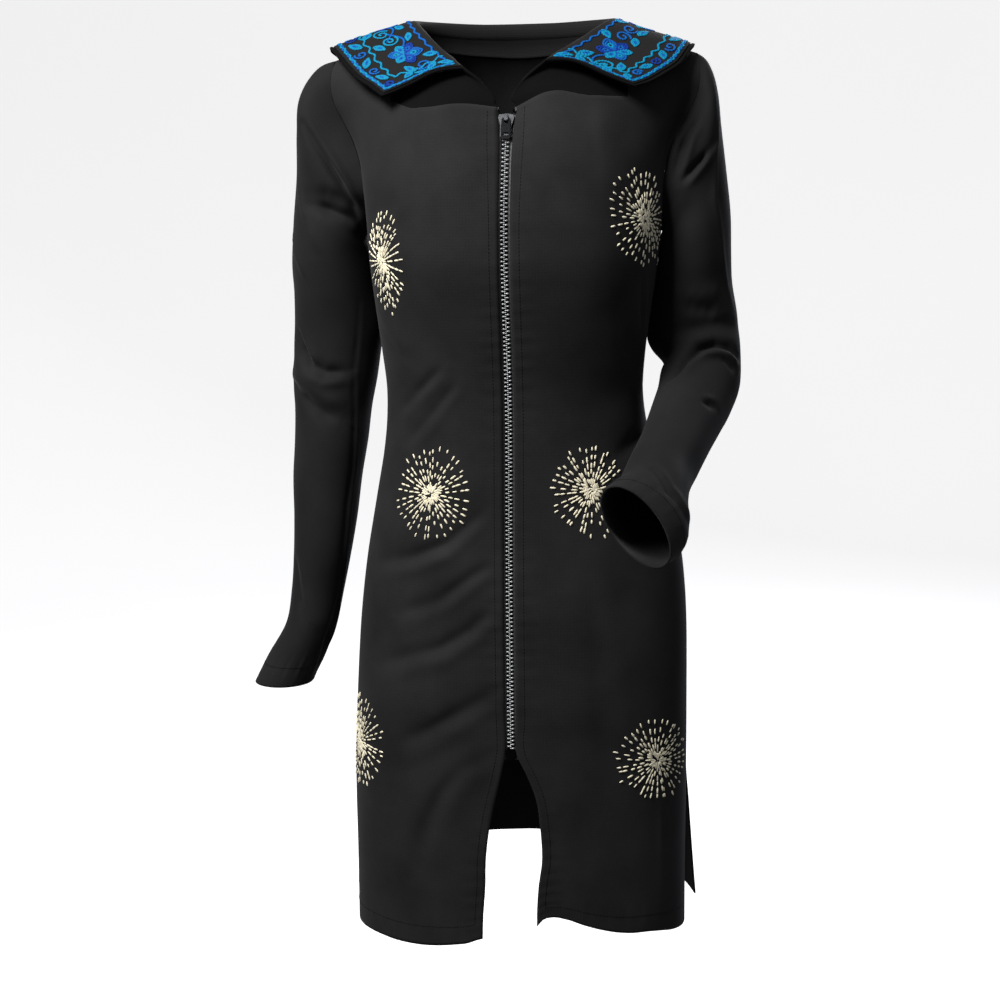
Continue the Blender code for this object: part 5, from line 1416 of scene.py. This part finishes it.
TAPE = 0.0010
CHAIN_BELOW_CLOTH = 0.0008
CHAIN_THICK = 0.0032
CHAIN_TOP = -0.0985
TAPE_SHOW = 0.0022
TAPE_END = -0.7585
TAPE_COLOUR = "#141416"
TAPE_LIGHT = "#202023"
TAPE_RIB = 0.0032
TAPE_ROUGHNESS = 0.6
TAPE_STEP = 0.0030
STOP_HIGH = 0.0104
STOP_Z = -0.7526
TOOTH_PITCH = 0.0043
TOOTH_LONG = 0.0046
TOOTH_REACH = 0.0009
TOOTH_HIGH = 0.00176
SLOPE_REACH = 0.01
TOOTH_COLOUR = "#a4a6a9"
TOOTH_DARK = "#74767a"
TOOTH_ROUGHNESS = 0.34
TOOTH_METALLIC = 0.25
FLOW_SCALE = 420.0
METAL_COLOUR = "#1e1f21"
METAL_DARK = "#0c0d0e"
METAL_ROUGHNESS = 0.32
# The slider's brighter metal colours are a painted highlight
SLIDER_PAINTED_HIGHLIGHT_LIGHT = "#5a5c60"
SLIDER_PAINTED_HIGHLIGHT_DARK = "#2c2d30"
RUB_SCALE = 300.0


def zip_rows():
    """The rows of a front that lie along the zip."""
    return slice(LOWER_ROWS.index(SLIT_TOP), len(LOWER_ROWS) + NECK_CORNER_LEVEL)


def centre_line(front):
    """The zip's line on the coat's outer face, from the slit to the neck."""
    line = front[zip_rows(), 0].copy()
    line[:, 0] = 0.0
    return line


def depth_at(line, height):
    """The Y of the zip's line at a height."""
    return float(np.interp(height, line[:, 2], line[:, 1]))


def tape_grid(grid, normals):
    """The zip tape's rows along a front's edge, with one column in the open between the fronts."""
    start = LOWER_ROWS.index(SLIT_TOP)
    below = (SLIT_TOP - TAPE_END) / (SLIT_TOP - LOWER_ROWS[start - 1])
    rows = grid[zip_rows(), :3]
    facing = normals[zip_rows(), :3]
    foot = rows[0] + (grid[start - 1, :3] - rows[0]) * below
    rows = np.concatenate([foot[None], rows])
    facing = np.concatenate([facing[:1], facing])
    show = rows[:, :1].copy()
    show[..., 0] -= np.sign(show[..., 0]) * TAPE_SHOW
    show[0, :, 0] = np.sign(show[0, :, 0]) * (ZIP_EDGE - TAPE_SHOW)
    return np.concatenate([show, rows], axis=1), np.concatenate([facing[:, :1], facing], axis=1)


# Polyester tape: a tight ribbed weave with a slight shine, black. Its ribs are about 1 mm apart
# and are drawn 3.2 mm apart, so that they just show.
tape_weave, tree, shader = new_material("woven_polyester_tape", TAPE_ROUGHNESS, Sheen_Weight=0.15)
cut = add_node(tree, "ShaderNodeUVMap", {"uv_map": "cut"}).outputs["UV"]
ribs = add_node(
    tree, "ShaderNodeTexWave", {"bands_direction": "DIAGONAL"},
    {"Vector": cut, "Scale": math.pi / 10 / TAPE_RIB, "Distortion": 0.4},
).outputs["Fac"]
finished(tree, shader, ribs, TAPE_COLOUR, TAPE_LIGHT, ribs, strength=0.6, distance=0.0003)

for side in ("left", "right"):
    name = f"front_{side}"
    coarse = Cloth(grids[name], 1.0 if side == "left" else -1.0, step=1.0, absent=ABSENT)
    rows, out = tape_grid(coarse.grid, coarse.normals())
    tape = Cloth(rows, coarse.facing, TAPE_STEP)
    piece = shell(f"zip_tape_{side}_cloth", tape, tape_weave, CLOTH + GAP, CLOTH + GAP + TAPE)
    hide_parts(f"zip_tape_{side}")
    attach(piece, "coat")


def row_tree():
    """A tree that sets one shape on every point, turned and sized by the point's attributes."""
    tree = bpy.data.node_groups.new("set_in_rows", "GeometryNodeTree")
    face = tree.interface
    sockets = {"Geometry": "Geometry", "Length": "Float", "Width": "Float", "Height": "Float",
               "Shape": "Object", "Material": "Material"}
    for label, kind in sockets.items():
        face.new_socket(label, in_out="INPUT", socket_type=f"NodeSocket{kind}")
    face.new_socket("Geometry", in_out="OUTPUT", socket_type="NodeSocketGeometry")
    given = add_node(tree, "NodeGroupInput").outputs
    along, out, size = (
        add_node(
            tree, "GeometryNodeInputNamedAttribute", {"data_type": "FLOAT_VECTOR"}, {"Name": name}
        ).outputs["Attribute"]
        for name in ("along", "out", "size")
    )
    turn = add_node(
        tree, "FunctionNodeAxesToRotation", {"primary_axis": "Z", "secondary_axis": "X"},
        {"Primary Axis": out, "Secondary Axis": along},
    ).outputs["Rotation"]
    sizes = add_node(
        tree, "ShaderNodeCombineXYZ", {},
        {"X": given["Length"], "Y": given["Width"], "Z": given["Height"]},
    ).outputs["Vector"]
    scale = add_node(
        tree, "ShaderNodeVectorMath", {"operation": "MULTIPLY"}, {0: size, 1: sizes}
    ).outputs["Vector"]
    one = add_node(
        tree, "GeometryNodeObjectInfo", {}, {"Object": given["Shape"]}
    ).outputs["Geometry"]
    placed = add_node(
        tree, "GeometryNodeInstanceOnPoints", {},
        {"Points": given["Geometry"], "Instance": one, "Rotation": turn, "Scale": scale},
    ).outputs["Instances"]
    real = add_node(tree, "GeometryNodeRealizeInstances", {}, {"Geometry": placed})
    dressed = add_node(
        tree, "GeometryNodeSetMaterial", {},
        {"Geometry": real.outputs["Geometry"], "Material": given["Material"]},
    ).outputs["Geometry"]
    add_node(tree, "NodeGroupOutput", {}, {"Geometry": dressed})
    return tree


repeated = row_tree()


def set_in_rows(name, spots, shape, sizes, material):
    """One mesh of a shape repeated at spots, each a place, two directions and a stretch."""
    mesh = bpy.data.meshes.new(f"{name}_points")
    mesh.from_pydata([tuple(map(float, spot[0])) for spot in spots], [], [])
    for label, k in (("along", 1), ("out", 2), ("size", 3)):
        layer = mesh.attributes.new(label, "FLOAT_VECTOR", "POINT")
        layer.data.foreach_set("vector", np.array([spot[k] for spot in spots], float).reshape(-1))
    holder = bpy.data.objects.new(f"{name}_points", mesh)
    bpy.context.scene.collection.objects.link(holder)
    rule = holder.modifiers.new("rows", "NODES")
    rule.node_group = repeated
    given = dict(zip(("Length", "Width", "Height"), sizes), Shape=shape, Material=material)
    for item in repeated.interface.items_tree:
        if item.in_out == "INPUT" and item.name in given:
            rule[item.identifier] = given[item.name]
    graph = bpy.context.evaluated_depsgraph_get()
    made = bpy.data.meshes.new_from_object(holder.evaluated_get(graph))
    made.name = name
    made.shade_smooth()
    piece = bpy.data.objects.new(name, made)
    bpy.context.scene.collection.objects.link(piece)
    holder.modifiers.clear()
    bpy.data.objects.remove(holder)
    return piece


# One moulded tooth: a clamp round the tape's cord, a narrow neck, and a head that reaches just
# past the middle. Its outline is in X, from the tape to the middle, and Z.
TOOTH = (
    (0.50, -0.50), (0.10, -0.50), (-0.02, -0.30), (-0.16, -0.30), (-0.28, -0.50), (-0.46, -0.44),
    (-0.50, 0.0), (-0.46, 0.44), (-0.28, 0.50), (-0.16, 0.30), (-0.02, 0.30), (0.10, 0.50),
    (0.50, 0.50),
)
TOOTH_CHAMFER = 0.80
TOOTH_FLAT = 0.28
TOOTH_START = {"left": 0.3, "right": 0.8}


def bar_shape(name, outline, chamfer):
    """A flat outline pushed through a thickness of one, its two faces a little smaller."""
    count = len(outline)
    points = []
    for depth, share in ((-0.5, chamfer), (-TOOTH_FLAT, 1.0), (TOOTH_FLAT, 1.0), (0.5, chamfer)):
        points += [(x * (share * 0.5 + 0.5), z * share, depth) for x, z in outline]
    faces = [tuple(range(count)), tuple(range(4 * count - 1, 3 * count - 1, -1))]
    for layer in range(3):
        for i in range(count):
            k = (i + 1) % count
            faces.append((layer * count + k, layer * count + i, (layer + 1) * count + i,
                          (layer + 1) * count + k))
    return mesh_piece(name, points, faces, None, smooth=False)


# Acetal resin, injection moulded: a grey hard plastic with a low shine and small flow marks.
acetal, tree, shader = new_material("moulded_acetal", TOOTH_ROUGHNESS, TOOTH_METALLIC)
solid = add_node(tree, "ShaderNodeTexCoord").outputs["Object"]
flow = add_node(
    tree, "ShaderNodeTexNoise", {}, {"Vector": solid, "Scale": FLOW_SCALE, "Detail": 2.0}
).outputs["Fac"]
finished(tree, shader, flow, TOOTH_DARK, TOOTH_COLOUR)

tooth = bar_shape("tooth_shape", TOOTH, TOOTH_CHAMFER)
line = centre_line(left_front)
for side, sign in (("left", 1.0), ("right", -1.0)):
    spots = []
    low = STOP_Z + STOP_HIGH / 2 + GAP + TOOTH_PITCH * TOOTH_START[side]
    count = int((CHAIN_TOP - low) / TOOTH_PITCH)
    for i in range(count):
        z = low + i * TOOTH_PITCH
        y = depth_at(line, z) + CHAIN_BELOW_CLOTH + CHAIN_THICK / 2
        rise = depth_at(line, z + SLOPE_REACH) - depth_at(line, z - SLOPE_REACH)
        rise /= 2 * SLOPE_REACH
        out = unit(np.array([0.0, -1.0, rise]))
        middle = (TOOTH_LONG / 2 - TOOTH_REACH) * sign
        spots.append(((middle, y, z), (sign, 0.0, 0.0), out, (1.0, 1.0, 1.0)))
    piece = set_in_rows(
        f"zip_teeth_{side}", spots, tooth, (TOOTH_LONG, TOOTH_HIGH, CHAIN_THICK), acetal
    )
    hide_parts(f"zip_chain_{side}")
    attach(piece, "coat")
bpy.data.objects.remove(tooth)

# Zinc, die cast and plated in black nickel: nearly black, polished by tumbling. The slider is
# painted a little brighter than its pull and the stops, as a painted highlight. They all keep their own
# solids.
METALS = (
    ("black_nickel_painted_highlight", SLIDER_PAINTED_HIGHLIGHT_DARK, SLIDER_PAINTED_HIGHLIGHT_LIGHT, ("zip_slider",)),
    ("black_nickel_on_zinc", METAL_DARK, METAL_COLOUR,
     ("zip_pull_tab", "zip_bottom_stop", "zip_top_stop_left", "zip_top_stop_right")),
)
for metal, dark, light, names in METALS:
    nickel, tree, shader = new_material(metal, METAL_ROUGHNESS, metallic=1.0)
    solid = add_node(tree, "ShaderNodeTexCoord").outputs["Object"]
    rub = add_node(
        tree, "ShaderNodeTexNoise", {}, {"Vector": solid, "Scale": RUB_SCALE, "Detail": 3.0}
    ).outputs["Fac"]
    finished(tree, shader, rub, dark, light)
    for name in names:
        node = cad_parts[name]
        node.data.materials.clear()
        node.data.materials.append(nickel)


# The stitching
# Black polyester thread topstitches the fronts beside the zip, the hems and the cuffs. The six
# starbursts on the fronts are running stitch in thick cream cotton, each sewn freehand, so no
# two are alike.

THREAD_LONG = 0.0029
THREAD_PITCH = 0.0036
THREAD_WIDE = 0.0008
THREAD_HIGH = 0.0006
THREAD_LIFT = THREAD_HIGH * 0.15
THREAD_COLOUR = "#0b0b0c"
THREAD_LIGHT = "#131315"
ZIP_STITCH_IN = 0.0095
STITCH_END = 0.004
CUFF_STITCH_END = 0.001
GRAIN_SIDES = 6
GRAIN_RINGS = 5
GRAIN_BLUNT = 0.75
RUN_REACH = 0.2
COTTON_COLOUR = "#d8d0b2"
COTTON_LIGHT = "#f4eedb"
THREAD_TWIST = 0.0009


def spun(name, dark, light, roughness, sheen=0.0):
    """Spun thread: matt fibre twisted into a cord, its strands picked out as fine bands."""
    material, tree, shader = new_material(
        name, roughness, Sheen_Weight=sheen, Sheen_Roughness=0.4, Specular_IOR_Level=0.10
    )
    solid = add_node(tree, "ShaderNodeTexCoord").outputs["Object"]
    twist = add_node(
        tree, "ShaderNodeTexNoise", {}, {"Vector": solid, "Scale": 1 / THREAD_TWIST, "Detail": 1.0}
    ).outputs["Fac"]
    spread = add_node(
        tree, "ShaderNodeMapRange", {}, {"Value": twist, "From Min": 0.30, "From Max": 0.70}
    ).outputs["Result"]
    finished(tree, shader, spread, dark, light, twist, strength=0.5, distance=0.0003)
    return material


def grain_shape(name, around, rings):
    """A rounded grain one unit long, wide and high: a stitch drawn down at both ends."""
    points = [(-0.5, 0.0, 0.0)]
    for i in range(1, rings):
        turn = math.pi * i / rings
        x = -0.5 * math.cos(turn)
        half = 0.5 * math.sin(turn) ** GRAIN_BLUNT
        for k in range(around):
            a = 2 * math.pi * k / around
            points.append((x, half * math.cos(a), half * math.sin(a)))
    points.append((0.5, 0.0, 0.0))
    last = len(points) - 1
    faces = []
    for k in range(around):
        n = (k + 1) % around
        faces.append((0, 1 + n, 1 + k))
        faces.append((last, last - around + k, last - around + n))
        for i in range(rings - 2):
            a = 1 + i * around
            faces.append((a + k, a + n, a + around + n, a + around + k))
    return mesh_piece(name, points, faces, None)


def sewn_run(cloth, path, pitch, lift):
    """Stitch spots at an even pitch along a path of places on the flat cut."""
    path = np.array(path, float)
    along = run_of(path)
    at = np.arange(pitch / 2, along[-1], pitch)
    u, v = (np.interp(at, along, path[:, k]) for k in (0, 1))
    next_u, next_v = (np.interp(at + pitch * RUN_REACH, along, path[:, k]) for k in (0, 1))
    points, out = cloth.place(u, v)
    ahead, _ = cloth.place(next_u, next_v)
    behind, _ = cloth.place(2 * u - next_u, 2 * v - next_v)
    run = unit(ahead - behind)
    points = points + out * lift
    return [(p, r, o, (1.0, 1.0, 1.0)) for p, r, o in zip(points, run, out)]


topstitch = spun("polyester_topstitch_thread", THREAD_COLOUR, THREAD_LIGHT, roughness=0.7)
cotton = spun("cream_cotton_thread", COTTON_COLOUR, COTTON_LIGHT, roughness=0.8, sheen=0.3)
grain = grain_shape("stitch_shape", GRAIN_SIDES, GRAIN_RINGS)

seams = []
for name in ("front_left", "front_right"):
    cloth = cloths[name]
    foot = (ZIP_STITCH_IN, HEM_STITCH_UP)
    seams.append((cloth, foot, (ZIP_STITCH_IN, cloth.v[cloth.hole[0]] - STITCH_END)))
    seams.append((cloth, foot, (cloth.columns_at[-1] - STITCH_END, HEM_STITCH_UP)))
cloth = cloths["back"]
side = (cloth.columns_at[-1] - STITCH_END, HEM_STITCH_UP)
seams.append((cloth, (STITCH_END, HEM_STITCH_UP), side))
for name in ("sleeve_left", "sleeve_right"):
    cloth = cloths[name]
    up = cloth.v[-1] - CUFF_STITCH_UP
    seams.append((cloth, (0.0, up), (cloth.u[-1] - CUFF_STITCH_END, up)))
runs = []
for cloth, start, end in seams:
    runs += sewn_run(cloth, [start, end], THREAD_PITCH, THREAD_LIFT)
piece = set_in_rows("topstitching", runs, grain, (THREAD_LONG, THREAD_WIDE, THREAD_HIGH), topstitch)
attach(piece, "coat")

# Each starburst: its panel, middle, radius, number of rays, and its width against its height
STARS = (
    ("front_right", (-0.132, -0.080, -0.231), 0.052, 34, 0.56),
    ("front_left", (0.140, -0.069, -0.190), 0.049, 36, 0.94),
    ("front_right", (-0.084, -0.090, -0.475), 0.048, 35, 0.94),
    ("front_left", (0.085, -0.090, -0.472), 0.046, 35, 0.92),
    ("front_right", (-0.173, -0.050, -0.761), 0.050, 34, 0.72),
    ("front_left", (0.153, -0.075, -0.768), 0.045, 36, 1.0),
)
DASH_LONG = 0.0066
DASH_WIDE = 0.0021
DASH_HIGH = 0.0016
DASH_SPAN = 0.0012
DASH_KEEP = 0.010
STAR_SEED = 11
DASHES_OUT = 5
FULL_RAYS = 0.8
KNOT_REACH = 0.0085
KNOT_STITCHES = 16
# How much the freehand stitches vary: each is drawn evenly between two bounds
RAY_TURN = (-0.22, 0.22)
RAY_START = (0.12, 0.28)
RAY_END = (0.90, 1.04)
RAY_BEND = (-0.05, 0.05)
DASH_SHIFT = (-0.26, 0.26)
DASH_STRETCH = (0.70, 1.20)
DASH_NEAR = 1.15
DASH_SHRINK = 0.30
KNOT_STRETCH = (0.5, 0.9)
DASH_LIFT = (0.18, 0.30)
DASH_BREADTH = (0.85, 1.15)
DASH_HEIGHT = (0.85, 1.1)
spots = []
for number, (panel, middle, radius, rays, breadth) in enumerate(STARS):
    draw = random.Random(STAR_SEED + number)
    cloth = cloths[panel]
    cu, cv = cloth.nearest_cut(middle)
    marks = []
    for ray in range(rays):
        turn = 2 * math.pi * (ray + draw.uniform(*RAY_TURN)) / rays
        start = radius * draw.uniform(*RAY_START)
        end = radius * draw.uniform(*RAY_END)
        bend = draw.uniform(*RAY_BEND)
        count = DASHES_OUT if draw.random() < FULL_RAYS else DASHES_OUT - 1
        for i in range(count):
            share = (i + draw.uniform(*DASH_SHIFT)) / (count - 1)
            r = start + (end - start) * share
            t = turn + bend * share
            stretch = draw.uniform(*DASH_STRETCH) * (DASH_NEAR - DASH_SHRINK * share)
            marks.append((r * math.cos(t), r * math.sin(t), t, stretch))
    for _ in range(KNOT_STITCHES):
        r = KNOT_REACH * math.sqrt(draw.random())
        t = draw.uniform(0, 2 * math.pi)
        lie = draw.uniform(0, math.pi)
        marks.append((r * math.cos(t), r * math.sin(t), lie, draw.uniform(*KNOT_STRETCH)))
    for du, dv, t, stretch in marks:
        du *= breadth
        t = math.atan2(math.sin(t), math.cos(t) * breadth)
        ends = np.array([-DASH_SPAN, DASH_SPAN, 0.0])
        places_u = cu + du + ends * math.cos(t)
        places_v = cv + dv + ends * math.sin(t)
        if places_u.max() > cloth.columns_at[-1] - DASH_KEEP:
            continue
        points, out = cloth.place(places_u, places_v)
        run = unit(points[1] - points[0])
        lift = DASH_HIGH * draw.uniform(*DASH_LIFT)
        size = (stretch, draw.uniform(*DASH_BREADTH), draw.uniform(*DASH_HEIGHT))
        spots.append((points[2] + out[2] * lift, run, out[2], size))
piece = set_in_rows("starburst_stitches", spots, grain, (DASH_LONG, DASH_WIDE, DASH_HIGH), cotton)
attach(piece, "coat")


# The collar's embroidery
# Chain stitch in three blues, worked by machine over the whole facing: wavy lines along the rim,
# leaves and scrolls between them, and a flower with six petals repeated along the collar. The
# links are about 3 mm long and are drawn 4.2 mm long, so that they show.

LINK_LONG = 0.0042
LINK_WIDE = 0.0030
LINK_HIGH = 0.0014
LINK_PITCH = 0.0029
LINK_SUNK = 0.25
EDGE_CLEAR = 0.002
THREADS = {
    "turquoise": ("#036486", "#0680a8"), "azure": ("#043f86", "#065aa2"),
    "cobalt": ("#042266", "#07338c"),
}
ROLL_MARGIN = 0.006
WAVE_POINTS = 8
CURL_POINTS = 26
CURL_WOUND = 0.86
PETAL_POINTS = 24
PETAL_TIP = 1.2
FILL_STEPS = (1.0, 0.68, 0.36)
FILL_INSET = 0.42
SWAY = 0.6
SWAY_OFTEN = 31.0
total = facing.columns_at[-1]
deep = float(facing.v[-1] - facing.rows_at[ROLL_TOP_ROW])
paths = {name: [] for name in THREADS}


def collar_place(s, t):
    """A place on the flat cut from a distance along the collar's edge and one in from its rim."""
    return np.stack([s, facing.v[-1] - t], axis=-1)


def curl(s, t, size, turns, start, hand):
    """A scroll: a line that winds in to its middle."""
    share = np.linspace(0.0, 1.0, CURL_POINTS)
    angle = start + hand * turns * 2 * np.pi * share
    radius = size * (1.0 - CURL_WOUND * share)
    return collar_place(s + radius * np.cos(angle), t + radius * np.sin(angle))


def wave(s, height, pitch, shift=0.0):
    """How far a freehand wavy line along the collar's edge stands off its middle."""
    return height * np.sin(2 * np.pi * s / pitch + shift + SWAY * np.sin(s * SWAY_OFTEN))


def petal(s, t, long, wide, turn):
    """The outline of a petal or leaf from its foot round its tip and back."""
    share = np.linspace(0.0, 2.0, PETAL_POINTS)
    out = np.minimum(share, 2.0 - share)
    x = long * out
    y = wide * 0.5 * np.sin(np.pi * out**PETAL_TIP) * np.sign(1.0 - share)
    return collar_place(s + x * math.cos(turn) - y * math.sin(turn),
                        t + x * math.sin(turn) + y * math.cos(turn))


def filled(colour, heart, s, t, long, wide, turn):
    """A petal or leaf worked solid, outline inside outline, with a heart of another colour."""
    for shrink in FILL_STEPS:
        inset = (1.0 - shrink) * long * FILL_INSET
        foot_s, foot_t = s + inset * math.cos(turn), t + inset * math.sin(turn)
        outline = petal(foot_s, foot_t, long * shrink, wide * shrink, turn)
        paths[heart if shrink == FILL_STEPS[-1] else colour].append(outline)


def around(inset, height, pitch, shift):
    """A wavy line at an even inset from the collar's front edges and its outer edge."""
    down = np.arange(deep - ROLL_MARGIN, inset, -pitch / WAVE_POINTS)
    side = inset + height * np.sin(2 * np.pi * down / pitch + shift)
    across = np.arange(inset, total - inset, pitch / WAVE_POINTS)
    edge = inset + wave(across, height, pitch, shift)
    s = np.concatenate([side, across, total - side[::-1]])
    t = np.concatenate([down, edge, down[::-1]])
    return collar_place(s, t)


# The border: two waves that cross like a rope, a row of leaves and scrolls, and a single wave
ROPE_INSET = 0.0048
ROPE_HIGH = 0.0011
ROPE_PITCH = 0.0120
FRAME_INSET = 0.0235
FRAME_HIGH = 0.0016
FRAME_PITCH = 0.0150
ROLL_WAVE_IN = 0.012
ROLL_WAVE_BELOW = 0.009
ROLL_WAVE_HIGH = 0.0012
ROLL_WAVE_PITCH = 0.0140
BORDER_PITCH = 0.0160
BORDER_MIDDLE = 0.0142
BORDER_CURL = 0.0062
BORDER_CURL_TURNS = 1.3
WHOLE_TURN = 6.28
LEAF_LONG = 0.0150
BORDER_LEAF_WIDE = 0.0064
BORDER_LEAF_BACK = 0.006
BORDER_LEAF_ASIDE = 0.004
BORDER_LEAN = 0.55
BORDER_DRIFT = 0.2
EDGE_LEAF_WIDE = 0.0060
EDGE_LEAF_FROM = 0.032
EDGE_LEAF_TO = 0.016
EDGE_LEAF_PITCH = 0.0135
EDGE_LEAF_ASIDE = 0.0022
EDGE_LEAF_LEAN = 0.6
UPRIGHT = 1.57
DRAW_SEED = 23
paths["turquoise"].append(around(ROPE_INSET, ROPE_HIGH, ROPE_PITCH, 0.0))
paths["azure"].append(around(ROPE_INSET, ROPE_HIGH, ROPE_PITCH, math.pi))
paths["turquoise"].append(around(FRAME_INSET, FRAME_HIGH, FRAME_PITCH, 0.0))
s = np.arange(ROLL_WAVE_IN, total - ROLL_WAVE_IN, ROLL_WAVE_PITCH / WAVE_POINTS)
t = deep - ROLL_WAVE_BELOW + wave(s, ROLL_WAVE_HIGH, ROLL_WAVE_PITCH)
paths["azure"].append(collar_place(s, t))
draw = random.Random(DRAW_SEED)
count = int((total - 2 * BORDER_MIDDLE) / BORDER_PITCH)
for i in range(count + 1):
    s = BORDER_MIDDLE + i * (total - 2 * BORDER_MIDDLE) / count
    hand = 1 if i % 4 < 2 else -1
    if i % 2:
        colour = "azure" if i % 3 else "cobalt"
        start = draw.uniform(0, WHOLE_TURN)
        paths[colour].append(curl(s, BORDER_MIDDLE, BORDER_CURL, BORDER_CURL_TURNS, start, hand))
    else:
        lean = BORDER_LEAN * hand + draw.uniform(-BORDER_DRIFT, BORDER_DRIFT)
        filled("turquoise", "azure", s - BORDER_LEAF_BACK, BORDER_MIDDLE - BORDER_LEAF_ASIDE * hand,
               LEAF_LONG, BORDER_LEAF_WIDE, lean)
for end in (0, 1):
    for i, t in enumerate(np.arange(EDGE_LEAF_FROM, deep - EDGE_LEAF_TO, EDGE_LEAF_PITCH)):
        hand = 1 if i % 2 else -1
        lean = UPRIGHT + EDGE_LEAF_LEAN * hand
        s = BORDER_MIDDLE + EDGE_LEAF_ASIDE * hand
        turn = math.pi - lean if end else lean
        filled("turquoise", "azure", total - s if end else s, t, LEAF_LONG, EDGE_LEAF_WIDE, turn)

# The field: a flower with six petals, its stem, two scrolls and four leaves, again and again
FLOWER_PITCH = 0.078
FLOWER_IN = 0.055
FLOWER_ROOM = 0.060
FLOWERS_LEAST = 4
FLOWER_DRIFT = 0.003
FLOWER_LEAN = 0.3
FLOWER_HEART = 0.0012
PETAL_LONG = 0.0178
PETAL_WIDE = 0.0112
# Each petal's colour and size
PETALS = (("cobalt", 1.0), ("azure", 1.12), ("cobalt", 0.95), ("turquoise", 0.8), ("azure", 0.9),
          ("turquoise", 0.82))
# Each leaf's place from the flower's middle, and its turn
LEAVES = ((0.018, 0.013, 0.5), (-0.021, -0.010, 2.7), (0.017, -0.015, -0.6), (-0.015, 0.016, 2.1))
LEAF_WIDE = 0.0070
# Each scroll's colour, place from the flower's middle, size, turns, start and hand
SCROLLS = (("turquoise", 0.030, -0.006, 0.0100, 1.5, 2.2, 1),
           ("azure", -0.029, 0.008, 0.0088, 1.4, 5.0, -1))
STEM_FROM = 0.012
STEM_LONG = 0.034
STEM_HIGH = 0.009
STEM_SWEEP = 3.4
STEM_START = 0.4
STEM_POINTS = 20
count = max(FLOWERS_LEAST, round((total - FLOWER_ROOM) / FLOWER_PITCH))
middle = (FRAME_INSET + deep - ROLL_WAVE_BELOW) / 2
for i in range(count):
    s = FLOWER_IN + i * (total - 2 * FLOWER_IN) / (count - 1)
    t = middle + draw.uniform(-FLOWER_DRIFT, FLOWER_DRIFT)
    hand = 1 if i % 2 else -1
    lean = draw.uniform(-FLOWER_LEAN, FLOWER_LEAN)
    for k, (colour, grown) in enumerate(PETALS):
        turn = lean + 2 * math.pi * k / len(PETALS)
        heart = "azure" if colour != "azure" else "turquoise"
        filled(colour, heart, s + FLOWER_HEART * math.cos(turn), t + FLOWER_HEART * math.sin(turn),
               PETAL_LONG * grown, PETAL_WIDE * grown, turn)
    for colour, ds, dt, size, turns, start, way in SCROLLS:
        paths[colour].append(curl(s + ds * hand, t + dt, size, turns, start, way * hand))
    share = np.linspace(0.0, 1.0, STEM_POINTS)
    stem_s = s + hand * (STEM_FROM + STEM_LONG * share)
    stem_t = t + STEM_HIGH * np.sin(share * STEM_SWEEP + STEM_START)
    paths["azure"].append(collar_place(stem_s, stem_t))
    for ds, dt, turn in LEAVES:
        turn = turn if hand > 0 else math.pi - turn
        filled("turquoise", "azure", s + ds * hand, t + dt, LEAF_LONG, LEAF_WIDE, turn)

for name, (dark, light) in THREADS.items():
    thread = spun(f"{name}_rayon_thread", dark, light, roughness=0.55)
    spots = []
    for path in paths[name]:
        path[:, 0] = np.clip(path[:, 0], EDGE_CLEAR, total - EDGE_CLEAR)
        path[:, 1] = np.clip(path[:, 1], 0.0, facing.v[-1] - EDGE_CLEAR)
        for p, r, o, size in sewn_run(facing, path, LINK_PITCH, -UNDER_FACING - LINK_HIGH * LINK_SUNK):
            spots.append((p, r, -o, size))
    piece = set_in_rows(f"embroidery_{name}", spots, grain, (LINK_LONG, LINK_WIDE, LINK_HIGH), thread)
    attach(piece, "coat")
bpy.data.objects.remove(grain)
